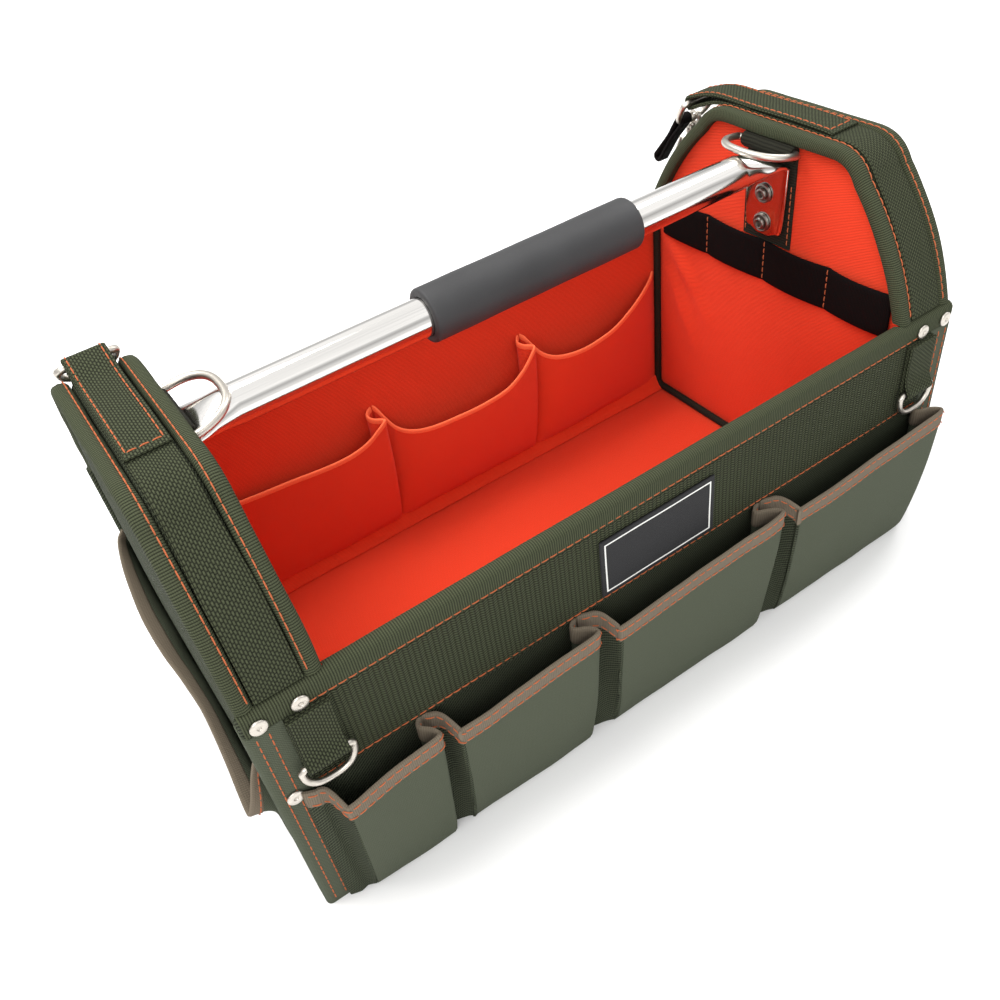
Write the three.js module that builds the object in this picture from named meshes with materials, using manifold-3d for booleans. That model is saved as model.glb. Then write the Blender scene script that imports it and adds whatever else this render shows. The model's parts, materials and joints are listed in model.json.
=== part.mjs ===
// Open top tool tote: a stiff cloth box with padded end panels, a steel handle
// tube between them, bellows pockets, webbing, D-rings and a small snap hook.
// Millimetres. X runs along the tote, the front is at -Y, and Z is up from the floor.
import * as THREE from 'three';
import { mergeVertices } from 'three/addons/utils/BufferGeometryUtils.js';
import Module from 'manifold-3d';

const wasm = await Module();
wasm.setup();

// Body
const LENGTH = 420;
const DEPTH = 203;
const WALL_HEIGHT = 151;
const WALL_CLOTH = 3;
const LINING = 1.5;
const FLOOR_PAD = 10;
const GAP = 0.3;

// Padded end panels
const END_HEIGHT = 234;
const END_THICKNESS = 38.5;
// From the middle to the top's front and back corners
const END_TOP_FRONT = 57;
const END_TOP_BACK = 48;
const END_CORNER = 15;
const END_SIDE_BULGE = 4.8;
const RIM_WIDTH = 8;
const RIM_DEPTH = 7;
// How far the rims stand proud of the end lining inside and of the panel outside
const LINING_SUNK = 5.6;
const RIM_PROUD = 1.2;

// Webbing and bindings
const STRAP_CLOTH = 2;
const BINDING_CLOTH = 1.4;
const BINDING_DROP = 12;
const BAND_CLOTH = 1.5;
const BAND_HEIGHT = 47;
const CORNER_STRIP = 15;
const CORNER_RETURN = 9;
const PATCH_WIDTH = 36;
const PATCH_CLOTH = 1.8;
const TAB_WIDTH = 20;
const TAB_CLOTH = 1.6;
const TAB_DROP = 30;

// Handle
// Down from the end panels' top to the middle of the tube
const TUBE_DROP = 18.6;
const TUBE_RADIUS = 9.6;
const TUBE_END_LENGTH = 26;
const TAB_PLATE = 3.5;
const TAB_PLATE_HALF = 15;
const TAB_PLATE_DROP = 44;
const GRIP_RADIUS = 13.5;
const GRIP_LENGTH = 124;
const GRIP_OFFSET = 11;

// Metal rings: bar length and reach are measured at the middle of the wire
const INNER_RING = { bar: 42, reach: 23, wire: 2 };
const STRAP_RING = { bar: 26, reach: 19, wire: 1.8 };
const FRONT_RING = { bar: 24.5, reach: 14, wire: 1.6 };
const RING_FLATNESS = 0.8;
// Up from the tube's middle to the inner rings' bars
const RING_LIFT = 7.2;
const WIRE_SIDES = 8;

// Where each strap's ring hangs, from the end panel's top corner: down along the panel's side
// slope, out from it, how much the strap's free end arches, and the ring's lean from that slope
const LEFT_STRAP_END = { along: -4.15, out: -0.9, arch: 1, lean: -13.2 };
const RIGHT_STRAP_END = { along: 19.7, out: 15.85, arch: 2.8, lean: -1.2 };
const STRAP_DOUBLED = 0.6;

// Pockets
const POCKET_CLOTH = 1.6;
const FRONT_POCKET_TOP = 92.5;
const FRONT_POCKET_DEPTH = 15;
const FRONT_POCKET_DROP = 3.5;
const INNER_POCKET_TOP = 109;
const INNER_POCKET_DEPTH = 20;
const INNER_POCKET_DROP = 23;
const OUTER_POCKET_LOW = 40;
const OUTER_POCKET_TOP = 112;
const OUTER_POCKET_DEPTH = 13;
const OUTER_POCKET_DROP = 18;
const OUTER_POCKET_HALF = 90;
// How far each kind of pocket stands out at its foot, as a share of its depth
const POCKET_FOOT = { front: 0.4, inner: 0.15, outer: 0 };

// Elastic tool band, label and rivets
const ELASTIC_CLOTH = 1.6;
const ELASTIC_HEIGHT = 25;
// Down from the handle's plate to the elastic's upper edge
const ELASTIC_DROP = 6.4;
const ELASTIC_LOOP = 47;
const ELASTIC_BULGE = 3;
const LABEL_WIDTH = 71;
const LABEL_HEIGHT = 36;
const LABEL_CLOTH = 1.2;
const LABEL_LIFT = 4;
const RIVET_RADIUS = 4;
const RIVET_HEIGHT = 1.8;
const TAB_RIVET_RADIUS = 5.6;
const TAB_RIVET_HEIGHT = 3;
const PIPING = 4.5;

// Snap hook, measured along its own shank from the wire that it hangs on
const HOOK_EYE = 3.7;
const HOOK_WIRE = 1.3;
const HOOK_COLLAR_RADIUS = 3;
const HOOK_COLLAR = 3.4;
const HOOK_BARREL = 4;
const HOOK_LENGTH = 39;
const HOOK_HALF_WIDTH = 4.5;
const HOOK_OPENING = 4.5;
const HOOK_KNOB = 2;
const LOOP_LENGTH = 42;
const LOOP_THICKNESS = 7;
const LOOP_WIDTH = 6.4;
// Where the hook and the black loop hang on the ring, as shares of its bar
const HOOK_PLACE = 0.2;
const LOOP_PLACE = -0.23;
// How far each hangs away from the panel's side slope, in degrees
const HOOK_SWING = -8.8;
const LOOP_SWING = 3.2;

// Places that several pieces share
const wallFace = DEPTH / 2;
const wallInside = wallFace - WALL_CLOTH;
const liningBack = wallInside - GAP;
const liningFace = liningBack - LINING;
const endFace = LENGTH / 2 - END_THICKNESS;
const endLiningFace = endFace + LINING_SUNK;
const endLiningBack = endLiningFace + LINING;
const padInside = endLiningBack + GAP;
const padOutside = LENGTH / 2 - RIM_PROUD;
const floorTop = FLOOR_PAD + GAP + LINING;
const bindingFace = wallFace + GAP + BINDING_CLOTH;
const bindingTop = WALL_HEIGHT + GAP + BINDING_CLOTH;
const bindingLow = bindingTop - BINDING_DROP;
const bandTop = bindingLow - GAP;
const bandLow = bandTop - BAND_HEIGHT;
const bandFace = wallFace + GAP + BAND_CLOTH;
const rimFoot = bindingTop + GAP;
const patchFace = endLiningFace - GAP - PATCH_CLOTH;
const tabPlateMiddle = patchFace - GAP - TAB_PLATE / 2;
const tubeHeight = END_HEIGHT - TUBE_DROP;
// Angle below level at which the end panels' sides go down
const sideSlope = Math.atan2(END_HEIGHT - WALL_HEIGHT, wallFace - END_TOP_BACK);
const elasticTop = tubeHeight - TAB_PLATE_DROP - ELASTIC_DROP;
const strapCentre = (endFace + LENGTH / 2) / 2;
const strapHalf = END_THICKNESS / 2 - RIM_WIDTH - GAP;

const colours = {
  olive: { color: 0x555c4e, roughness: 0.9 },
  webbing: { color: 0x4a5244, roughness: 0.95 },
  darkOlive: { color: 0x2e332b, roughness: 0.95 },
  red: { color: 0xdc3219, roughness: 0.85 },
  steel: { color: 0xd8d6d0, roughness: 0.18, metalness: 1 },
  nickel: { color: 0xe1ded7, roughness: 0.3, metalness: 1 },
  foam: { color: 0x3c3c3e, roughness: 0.8 },
  black: { color: 0x161414, roughness: 0.9 },
};

const tote = new THREE.Group();

function addPiece(name, geometry, colour, parent = tote) {
  const mesh = new THREE.Mesh(geometry, new THREE.MeshStandardMaterial(colours[colour]));
  mesh.name = name;
  parent.add(mesh);
  return mesh;
}

// Solids as manifolds, for joins and cuts only
function toSolid(geometry) {
  const bare = geometry.index ? geometry.toNonIndexed() : geometry.clone();
  bare.deleteAttribute('normal');
  bare.deleteAttribute('uv');
  const merged = mergeVertices(bare, 1e-4);
  return new wasm.Manifold(new wasm.Mesh({
    numProp: 3,
    vertProperties: new Float32Array(merged.attributes.position.array),
    triVerts: new Uint32Array(merged.index.array),
  }));
}

function toGeometry(solid) {
  const mesh = solid.getMesh();
  const geometry = new THREE.BufferGeometry();
  geometry.setAttribute('position', new THREE.BufferAttribute(mesh.vertProperties, 3));
  geometry.setIndex(new THREE.BufferAttribute(mesh.triVerts, 1));
  geometry.computeVertexNormals();
  return geometry;
}

function joined(...geometries) {
  return toGeometry(geometries.map(toSolid).reduce((sum, piece) => sum.add(piece)));
}

function cutBelow(geometry, height) {
  const reach = LENGTH + DEPTH + END_HEIGHT;
  const below = box([-reach, reach], [-reach, reach], [-reach, height]);
  return toGeometry(toSolid(geometry).subtract(toSolid(below)));
}

function box(x, y, z) {
  const geometry = new THREE.BoxGeometry(x[1] - x[0], y[1] - y[0], z[1] - z[0]);
  return geometry.translate((x[0] + x[1]) / 2, (y[0] + y[1]) / 2, (z[0] + z[1]) / 2);
}

// A table's rows as objects, by the names of its columns
function named(columns, rows) {
  return rows.map((row) => Object.fromEntries(columns.map((name, i) => [name, row[i]])));
}

// A flat outline drawn in two axes and pushed out along the third
const drawnIn = {
  YZ: new THREE.Matrix4().makeBasis(
    new THREE.Vector3(0, 1, 0), new THREE.Vector3(0, 0, 1), new THREE.Vector3(1, 0, 0)),
  XZ: new THREE.Matrix4().makeBasis(
    new THREE.Vector3(1, 0, 0), new THREE.Vector3(0, 0, 1), new THREE.Vector3(0, -1, 0)),
  XY: new THREE.Matrix4(),
};

function prism(plane, outline, from, to, hole = null) {
  const shape = new THREE.Shape(outline);
  if (hole) shape.holes.push(new THREE.Path(hole));
  const geometry = new THREE.ExtrudeGeometry(shape, { depth: to - from, bevelEnabled: false });
  return geometry.translate(0, 0, from).applyMatrix4(drawnIn[plane]);
}

// Points moved sideways by the same distance all along a line
function offsetLine(points, distance) {
  return points.map((point, i) => {
    const before = points[Math.max(i - 1, 0)];
    const after = points[Math.min(i + 1, points.length - 1)];
    const into = point.clone().sub(before).normalize();
    const out = after.clone().sub(point).normalize();
    const along = into.clone().add(out).normalize();
    const bend = Math.max(Math.abs(along.dot(out.lengthSq() ? out : into)), 0.5);
    return new THREE.Vector2(point.x - along.y * distance / bend, point.y + along.x * distance / bend);
  });
}

// Cloth of one thickness along a line: its outline
function ribbon(points, thickness) {
  const left = offsetLine(points, thickness / 2);
  const right = offsetLine(points, -thickness / 2).reverse();
  return [...left, ...right];
}

function arc(centre, radius, from, to, steps) {
  const points = [];
  for (let i = 0; i <= steps; i++) {
    const angle = THREE.MathUtils.degToRad(from + (to - from) * i / steps);
    points.push(new THREE.Vector2(centre.x + radius * Math.cos(angle), centre.y + radius * Math.sin(angle)));
  }
  return points;
}

function point(x, y) {
  return new THREE.Vector2(x, y);
}

// A closed body from rings of points; a closed loop has no end caps
function loft(rings, closedLoop = false) {
  const sides = rings[0].length;
  const positions = rings.flat().flatMap((p) => [p.x, p.y, p.z]);
  const index = [];
  const spans = closedLoop ? rings.length : rings.length - 1;
  for (let i = 0; i < spans; i++) {
    for (let j = 0; j < sides; j++) {
      const a = i * sides + j;
      const b = i * sides + (j + 1) % sides;
      const c = ((i + 1) % rings.length) * sides + j;
      const d = ((i + 1) % rings.length) * sides + (j + 1) % sides;
      index.push(a, b, d, a, d, c);
    }
  }
  if (!closedLoop) {
    const last = (rings.length - 1) * sides;
    for (let j = 1; j < sides - 1; j++) {
      index.push(0, j + 1, j);
      index.push(last, last + j, last + j + 1);
    }
  }
  return outward(positions, index);
}

// A thin body between two grids of points, closed along all four edges
function cloth(outer, inner) {
  const rows = outer.length;
  const columns = outer[0].length;
  const grids = [outer, inner];
  const positions = grids.flat(2).flatMap((p) => [p.x, p.y, p.z]);
  const at = (side, i, j) => side * rows * columns + i * columns + j;
  const index = [];
  const quad = (a, b, c, d) => index.push(a, b, c, a, c, d);
  for (let i = 0; i < rows - 1; i++) {
    for (let j = 0; j < columns - 1; j++) {
      quad(at(0, i, j), at(0, i, j + 1), at(0, i + 1, j + 1), at(0, i + 1, j));
      quad(at(1, i, j), at(1, i + 1, j), at(1, i + 1, j + 1), at(1, i, j + 1));
    }
  }
  for (let j = 0; j < columns - 1; j++) {
    quad(at(0, 0, j), at(1, 0, j), at(1, 0, j + 1), at(0, 0, j + 1));
    quad(at(0, rows - 1, j), at(0, rows - 1, j + 1), at(1, rows - 1, j + 1), at(1, rows - 1, j));
  }
  for (let i = 0; i < rows - 1; i++) {
    quad(at(0, i, 0), at(0, i + 1, 0), at(1, i + 1, 0), at(1, i, 0));
    quad(at(0, i, columns - 1), at(1, i, columns - 1), at(1, i + 1, columns - 1), at(0, i + 1, columns - 1));
  }
  return outward(positions, index);
}

// Turns a closed body's faces outwards if they point in
function outward(positions, index) {
  let volume = 0;
  const corner = (k) => new THREE.Vector3().fromArray(positions, index[k] * 3);
  for (let k = 0; k < index.length; k += 3) {
    volume += corner(k).dot(corner(k + 1).cross(corner(k + 2)));
  }
  if (volume < 0) index.reverse();
  const geometry = new THREE.BufferGeometry();
  geometry.setAttribute('position', new THREE.Float32BufferAttribute(positions, 3));
  geometry.setIndex(index);
  geometry.computeVertexNormals();
  return geometry;
}

// Front and back edge of an end panel above the walls, as Y and Z
function endOutline(inset) {
  const edge = (topHalf) => {
    const foot = point(-wallFace, WALL_HEIGHT);
    const corner = point(-topHalf, END_HEIGHT);
    const slope = corner.clone().sub(foot).normalize();
    const sideEnd = corner.clone().addScaledVector(slope, -END_CORNER);
    const outwards = point(-slope.y, slope.x);
    const bulge = foot.clone().add(sideEnd).multiplyScalar(0.5).addScaledVector(outwards, 2 * END_SIDE_BULGE);
    const path = new THREE.Path();
    path.moveTo(foot.x, foot.y);
    path.quadraticCurveTo(bulge.x, bulge.y, sideEnd.x, sideEnd.y);
    path.quadraticCurveTo(corner.x, corner.y, corner.x + END_CORNER, corner.y);
    return path.getPoints(6);
  };
  const back = edge(END_TOP_BACK).map((p) => point(-p.x, p.y)).reverse();
  return offsetLine([...edge(END_TOP_FRONT), ...back], -inset);
}

// Floor and walls
function addShell() {
  addPiece('base_panel',
    box([-padInside + GAP, padInside - GAP], [-liningBack, liningBack], [0, FLOOR_PAD]), 'olive');
  addPiece('floor_lining',
    box([-padInside + GAP, padInside - GAP], [-liningBack, liningBack], [FLOOR_PAD + GAP, floorTop]), 'red');
  for (const [name, side] of [['front', -1], ['back', 1]]) {
    const wall = box([-LENGTH / 2, LENGTH / 2], [wallInside, wallFace], [0, WALL_HEIGHT]);
    addPiece(`${name}_wall`, wall.rotateZ(side < 0 ? Math.PI : 0), 'olive');
    const lining = box([-padInside + GAP, padInside - GAP], [liningFace, liningBack],
      [floorTop + GAP, WALL_HEIGHT]);
    addPiece(`${name}_lining`, lining.rotateZ(side < 0 ? Math.PI : 0), 'red');
    addPiece(`${name}_binding`, wallBinding().rotateZ(side < 0 ? Math.PI : 0), 'webbing');
  }
}

// Tape folded over a wall and its lining; past the end panels it covers the wall alone
function wallBinding() {
  const outer = bindingFace;
  const inner = liningFace - GAP - BINDING_CLOTH;
  const underTop = WALL_HEIGHT + GAP;
  const overEnds = [
    point(wallFace + GAP, bindingLow), point(outer, bindingLow), point(outer, bindingTop),
    point(wallInside, bindingTop), point(wallInside, underTop), point(wallFace + GAP, underTop),
  ];
  const between = [
    point(wallFace + GAP, bindingLow), point(outer, bindingLow), point(outer, bindingTop),
    point(inner, bindingTop), point(inner, bindingLow), point(liningFace - GAP, bindingLow),
    point(liningFace - GAP, underTop), point(wallFace + GAP, underTop),
  ];
  return joined(
    prism('YZ', overEnds, -LENGTH / 2, LENGTH / 2),
    prism('YZ', between, -endFace + GAP, endFace - GAP));
}

// End panels: a padded core with a ridge between its two rims, a lining and a strap
function padGeometry() {
  const shoulder = endOutline(RIM_DEPTH + GAP).filter((p) => p.y > rimFoot);
  const plate = [
    point(-liningBack, 0), point(-liningBack, rimFoot - GAP), point(shoulder[0].x, rimFoot - GAP),
    ...shoulder,
    point(shoulder.at(-1).x, rimFoot - GAP), point(liningBack, rimFoot - GAP), point(liningBack, 0),
  ];
  const ridgeLine = endOutline(STRAP_CLOTH + 2 * GAP).filter((p) => Math.abs(p.x) < liningBack);
  const ridge = [
    point(-liningBack, 0), point(-liningBack, ridgeLine[0].y), ...ridgeLine,
    point(liningBack, ridgeLine.at(-1).y), point(liningBack, 0),
  ];
  return joined(
    prism('YZ', plate, padInside, padOutside),
    prism('YZ', ridge, endFace + RIM_WIDTH + GAP, LENGTH / 2 - RIM_WIDTH - GAP));
}

function rimGeometry(from) {
  const corner = RIM_WIDTH * 0.3;
  const section = [
    [0, RIM_DEPTH - corner], [0, corner], [corner * 0.3, corner * 0.3], [corner, 0],
    [RIM_WIDTH - corner, 0], [RIM_WIDTH - corner * 0.3, corner * 0.3], [RIM_WIDTH, corner],
    [RIM_WIDTH, RIM_DEPTH - corner], [RIM_WIDTH - corner, RIM_DEPTH], [corner, RIM_DEPTH],
  ];
  const lines = section.map(([, depth]) => endOutline(depth));
  const rings = lines[0].map((_, i) => section.map(([across], k) => (
    new THREE.Vector3(from + across, lines[k][i].x, lines[k][i].y))));
  return cutBelow(loft(rings), rimFoot);
}

function endLiningGeometry() {
  const shoulder = endOutline(RIM_DEPTH + GAP).filter((p) => p.y > rimFoot);
  const side = liningFace - GAP;
  return prism('YZ', [
    point(-side, floorTop + GAP), point(-side, rimFoot - GAP), point(shoulder[0].x, rimFoot - GAP),
    ...shoulder,
    point(shoulder.at(-1).x, rimFoot - GAP), point(side, rimFoot - GAP), point(side, floorTop + GAP),
  ], endLiningFace, endLiningBack);
}

// Strap up the ridge and over the top; its free end arches a little and folds round a ring's bar
const strapEnd = ({ along, out, arch, lean }) => ({
  y: END_TOP_BACK + along * Math.cos(sideSlope) + out * Math.sin(sideSlope),
  z: END_HEIGHT - along * Math.sin(sideSlope) + out * Math.cos(sideSlope),
  arch,
  lean: sideSlope + THREE.MathUtils.degToRad(lean),
});
const strapEnds = { left: strapEnd(LEFT_STRAP_END), right: strapEnd(RIGHT_STRAP_END) };

function strapGeometry(side) {
  const bar = point(strapEnds[side].y, strapEnds[side].z);
  const middle = STRAP_CLOTH / 2 + GAP;
  const raised = middle - STRAP_CLOTH - GAP;
  const doubledFrom = -END_TOP_FRONT * STRAP_DOUBLED;
  const liftsAt = END_TOP_BACK - END_CORNER;
  const low = endOutline(middle).filter((p) => p.y > rimFoot + STRAP_CLOTH);
  const high = endOutline(raised);
  const single = low.filter((p) => p.x < doubledFrom - 3 * STRAP_CLOTH);
  const lead = high.filter((p) => p.x > doubledFrom && p.x < liftsAt);
  const topLayer = [point(doubledFrom, END_HEIGHT - raised), ...lead, point(liftsAt, END_HEIGHT - raised)];
  const turn = STRAP_RING.wire + GAP + STRAP_CLOTH / 2;
  const reach = bar.clone().sub(point(liftsAt, END_HEIGHT));
  const heading = THREE.MathUtils.radToDeg(Math.atan2(reach.y, reach.x));
  const fold = arc(bar, turn, heading + 90, heading - 90, 8);
  const arch = point(0, strapEnds[side].arch);
  const lastTop = fold[0].clone().lerp(topLayer[topLayer.length - 1], 0.5).add(arch);
  const underLayer = [
    fold[8].clone().lerp(point(liftsAt, END_HEIGHT - middle), 0.5).add(arch),
    point(liftsAt, END_HEIGHT - middle), point(doubledFrom + 1.5 * STRAP_CLOTH, END_HEIGHT - middle),
  ];
  const line = [...single, ...topLayer, lastTop, ...fold, ...underLayer];
  return prism('YZ', ribbon(line, STRAP_CLOTH), strapCentre - strapHalf, strapCentre + strapHalf);
}

function addEnds() {
  for (const [name, side] of [['left', -1], ['right', 1]]) {
    const mirror = (geometry) => (side > 0 ? geometry : mirrored(geometry));
    addPiece(`${name}_end_panel`, mirror(padGeometry()), 'olive');
    addPiece(`${name}_end_lining`, mirror(endLiningGeometry()), 'red');
    addPiece(`${name}_inner_rim`, mirror(rimGeometry(endFace)), 'webbing');
    addPiece(`${name}_outer_rim`, mirror(rimGeometry(LENGTH / 2 - RIM_WIDTH)), 'webbing');
    addPiece(`${name}_strap`, mirror(strapGeometry(name)), 'webbing');
    addPiece(`${name}_patch`, mirror(patchGeometry()), 'darkOlive');
  }
}

// The same piece at the other end of the tote
function mirrored(geometry) {
  const flipped = geometry.index ? geometry.toNonIndexed() : geometry.clone();
  const position = flipped.attributes.position;
  for (let k = 0; k < position.count; k += 3) {
    const corners = [0, 1, 2].map((j) => new THREE.Vector3().fromBufferAttribute(position, k + j));
    [0, 2, 1].forEach((from, to) => {
      position.setXYZ(k + to, -corners[from].x, corners[from].y, corners[from].z);
    });
  }
  flipped.computeVertexNormals();
  return flipped;
}

// Webbing sewn to the end lining behind the handle, its top folded over a ring's bar
const innerRingBar = {
  x: patchFace - GAP - INNER_RING.wire,
  z: tubeHeight + RING_LIFT,
};

function patchGeometry() {
  const middle = patchFace + PATCH_CLOTH / 2;
  const turn = INNER_RING.wire + GAP + PATCH_CLOTH / 2;
  const bar = point(innerRingBar.x, innerRingBar.z);
  const line = [
    point(middle, elasticTop + GAP), ...arc(bar, turn, 0, 225, 10),
    point(bar.x - turn * 0.1, bar.y - turn * 1.25),
    point(bar.x + turn * 0.25, bar.y - turn * 1.4),
  ];
  return prism('XZ', ribbon(line, PATCH_CLOTH), -PATCH_WIDTH / 2, PATCH_WIDTH / 2);
}

// Handle tube: round between the ends, then flattened and bent down into a plate
function handleGeometry() {
  const endStart = tabPlateMiddle - TUBE_END_LENGTH;
  // out: share of the end's length; drop: share of the plate's; the rest are half sizes
  const columns = ['out', 'drop', 'heading', 'halfWidth', 'halfThickness', 'square'];
  const rows = [
    [0.00, 0.00, 0, TUBE_RADIUS, TUBE_RADIUS, 1],
    [0.38, 0.00, 0, TUBE_RADIUS * 1.2, TUBE_RADIUS * 0.72, 0.9],
    [0.68, 0.00, -4, TAB_PLATE_HALF * 0.95, TUBE_RADIUS * 0.38, 0.75],
    [0.86, 0.01, -14, TAB_PLATE_HALF, TAB_PLATE * 0.55, 0.6],
    [0.97, 0.05, -55, TAB_PLATE_HALF, TAB_PLATE * 0.5, 0.5],
    [1.00, 0.12, -90, TAB_PLATE_HALF, TAB_PLATE / 2, 0.5],
    [1.00, 0.86, -90, TAB_PLATE_HALF * 0.9, TAB_PLATE / 2, 0.5],
    [1.00, 0.95, -90, TAB_PLATE_HALF * 0.68, TAB_PLATE / 2, 0.5],
    [1.00, 1.00, -90, TAB_PLATE_HALF * 0.35, TAB_PLATE / 2, 0.5],
  ];
  const right = named(columns, rows);
  const ring = (station, side) => {
    const x = side * (endStart + TUBE_END_LENGTH * station.out);
    const z = tubeHeight - TAB_PLATE_DROP * station.drop;
    const heading = THREE.MathUtils.degToRad(side * station.heading);
    const up = new THREE.Vector3(-Math.sin(heading), 0, Math.cos(heading));
    const points = [];
    for (let k = 0; k < 16; k++) {
      const angle = 2 * Math.PI * k / 16;
      const round = (value) => Math.sign(value) * Math.abs(value) ** station.square;
      points.push(new THREE.Vector3(x, station.halfWidth * round(Math.cos(angle)), z)
        .addScaledVector(up, station.halfThickness * round(Math.sin(angle))));
    }
    return points;
  };
  return loft([
    ...right.slice().reverse().map((station) => ring(station, -1)),
    ...right.map((station) => ring(station, 1)),
  ]);
}

function addHandle() {
  addPiece('handle_tube', handleGeometry(), 'steel');
  const inner = TUBE_RADIUS + GAP;
  const half = GRIP_LENGTH / 2;
  const edge = 1.2;
  const profile = [
    point(inner, -half), point(GRIP_RADIUS - edge, -half), point(GRIP_RADIUS, -half + edge),
    point(GRIP_RADIUS, half - edge), point(GRIP_RADIUS - edge, half), point(inner, half), point(inner, -half),
  ];
  const grip = new THREE.LatheGeometry(profile, 28);
  const mesh = addPiece('handle_grip', grip, 'foam');
  mesh.rotation.z = Math.PI / 2;
  mesh.position.set(GRIP_OFFSET, 0, tubeHeight);
  for (const [name, side] of [['left', -1], ['right', 1]]) {
    for (const [place, share] of [['upper', 0.44], ['lower', 0.84]]) {
      const head = rivetGeometry(TAB_RIVET_RADIUS, TAB_RIVET_HEIGHT);
      const rivet = addPiece(`${name}_${place}_tab_rivet`, head, 'nickel');
      rivet.rotation.z = side * Math.PI / 2;
      rivet.position.set(
        side * (tabPlateMiddle - TAB_PLATE / 2 - GAP), 0, tubeHeight - TAB_PLATE_DROP * share);
    }
  }
}

// A turned head with a hollow in its middle, standing on the plane through its origin
function rivetGeometry(radius, height) {
  const profile = [
    point(0, 0), point(radius, 0), point(radius, height * 0.3), point(radius * 0.85, height * 0.62),
    point(radius * 0.62, height * 0.7), point(radius * 0.55, height), point(radius * 0.3, height),
    point(radius * 0.22, height * 0.6), point(0, height * 0.55),
  ];
  return new THREE.LatheGeometry(profile, 12);
}

// How far a ring's bow lies from its bar, at a place across the ring
function bowDepth({ bar, reach, wire }, across) {
  const cosine = (2 * Math.abs(across) / bar) ** (1 / RING_FLATNESS);
  return wire + (reach - wire) * Math.sqrt(Math.max(1 - cosine ** 2, 0)) ** RING_FLATNESS;
}

// A wire bent to a D: the bar along X through the origin, the bow towards -Y
function ringGeometry({ bar, reach, wire }) {
  const line = [];
  const straight = bar / 2 - wire * 0.8;
  for (let i = 0; i <= 5; i++) line.push(point(straight * (2 * i / 5 - 1), 0));
  const steps = 18;
  for (let i = 0; i <= steps; i++) {
    const angle = Math.PI * i / steps;
    const across = Math.sign(Math.cos(angle)) * Math.abs(Math.cos(angle)) ** RING_FLATNESS * bar / 2;
    line.push(point(across, -bowDepth({ bar, reach, wire }, across)));
  }
  const count = line.length;
  const rings = line.map((p, i) => {
    const along = line[(i + 1) % count].clone().sub(line[(i + count - 1) % count]).normalize();
    const points = [];
    for (let k = 0; k < WIRE_SIDES; k++) {
      const angle = 2 * Math.PI * k / WIRE_SIDES;
      const sideways = wire * Math.cos(angle);
      points.push(new THREE.Vector3(
        p.x - along.y * sideways, p.y + along.x * sideways, wire * Math.sin(angle)));
    }
    return points;
  });
  return loft(rings, true);
}

function addRing(name, ring, place, axis, lean) {
  const holder = new THREE.Group();
  const mesh = addPiece(name, ringGeometry(ring), 'nickel', holder);
  mesh.rotation.x = lean;
  holder.position.copy(place);
  holder.rotation.z = axis;
  tote.add(holder);
}

function addRings() {
  const clearance = innerRingBar.z - tubeHeight - TUBE_RADIUS - INNER_RING.wire - GAP;
  const rest = Math.asin(clearance / INNER_RING.reach);
  for (const [name, side] of [['left', -1], ['right', 1]]) {
    addRing(`${name}_inner_ring`, INNER_RING,
      new THREE.Vector3(side * innerRingBar.x, 0, innerRingBar.z), -side * Math.PI / 2, rest);
    const bar = strapEnds[name];
    addRing(`${name}_strap_ring`, STRAP_RING,
      new THREE.Vector3(side * strapCentre, bar.y, bar.z), Math.PI, bar.lean);
    addRing(`${name}_front_ring`, FRONT_RING,
      new THREE.Vector3(side * tabPlace, frontRingBar.y, frontRingBar.z), 0, Math.PI / 2);
  }
}

// Front tabs: webbing from under the binding, folded round a ring's bar
const tabPlace = LENGTH / 2 - CORNER_STRIP - TAB_WIDTH / 2;
const tabBack = bandFace + GAP + TAB_CLOTH / 2;
const frontRingBar = {
  y: -(tabBack + TAB_CLOTH / 2 + GAP + FRONT_RING.wire),
  z: bindingLow - GAP - TAB_DROP,
};

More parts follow.
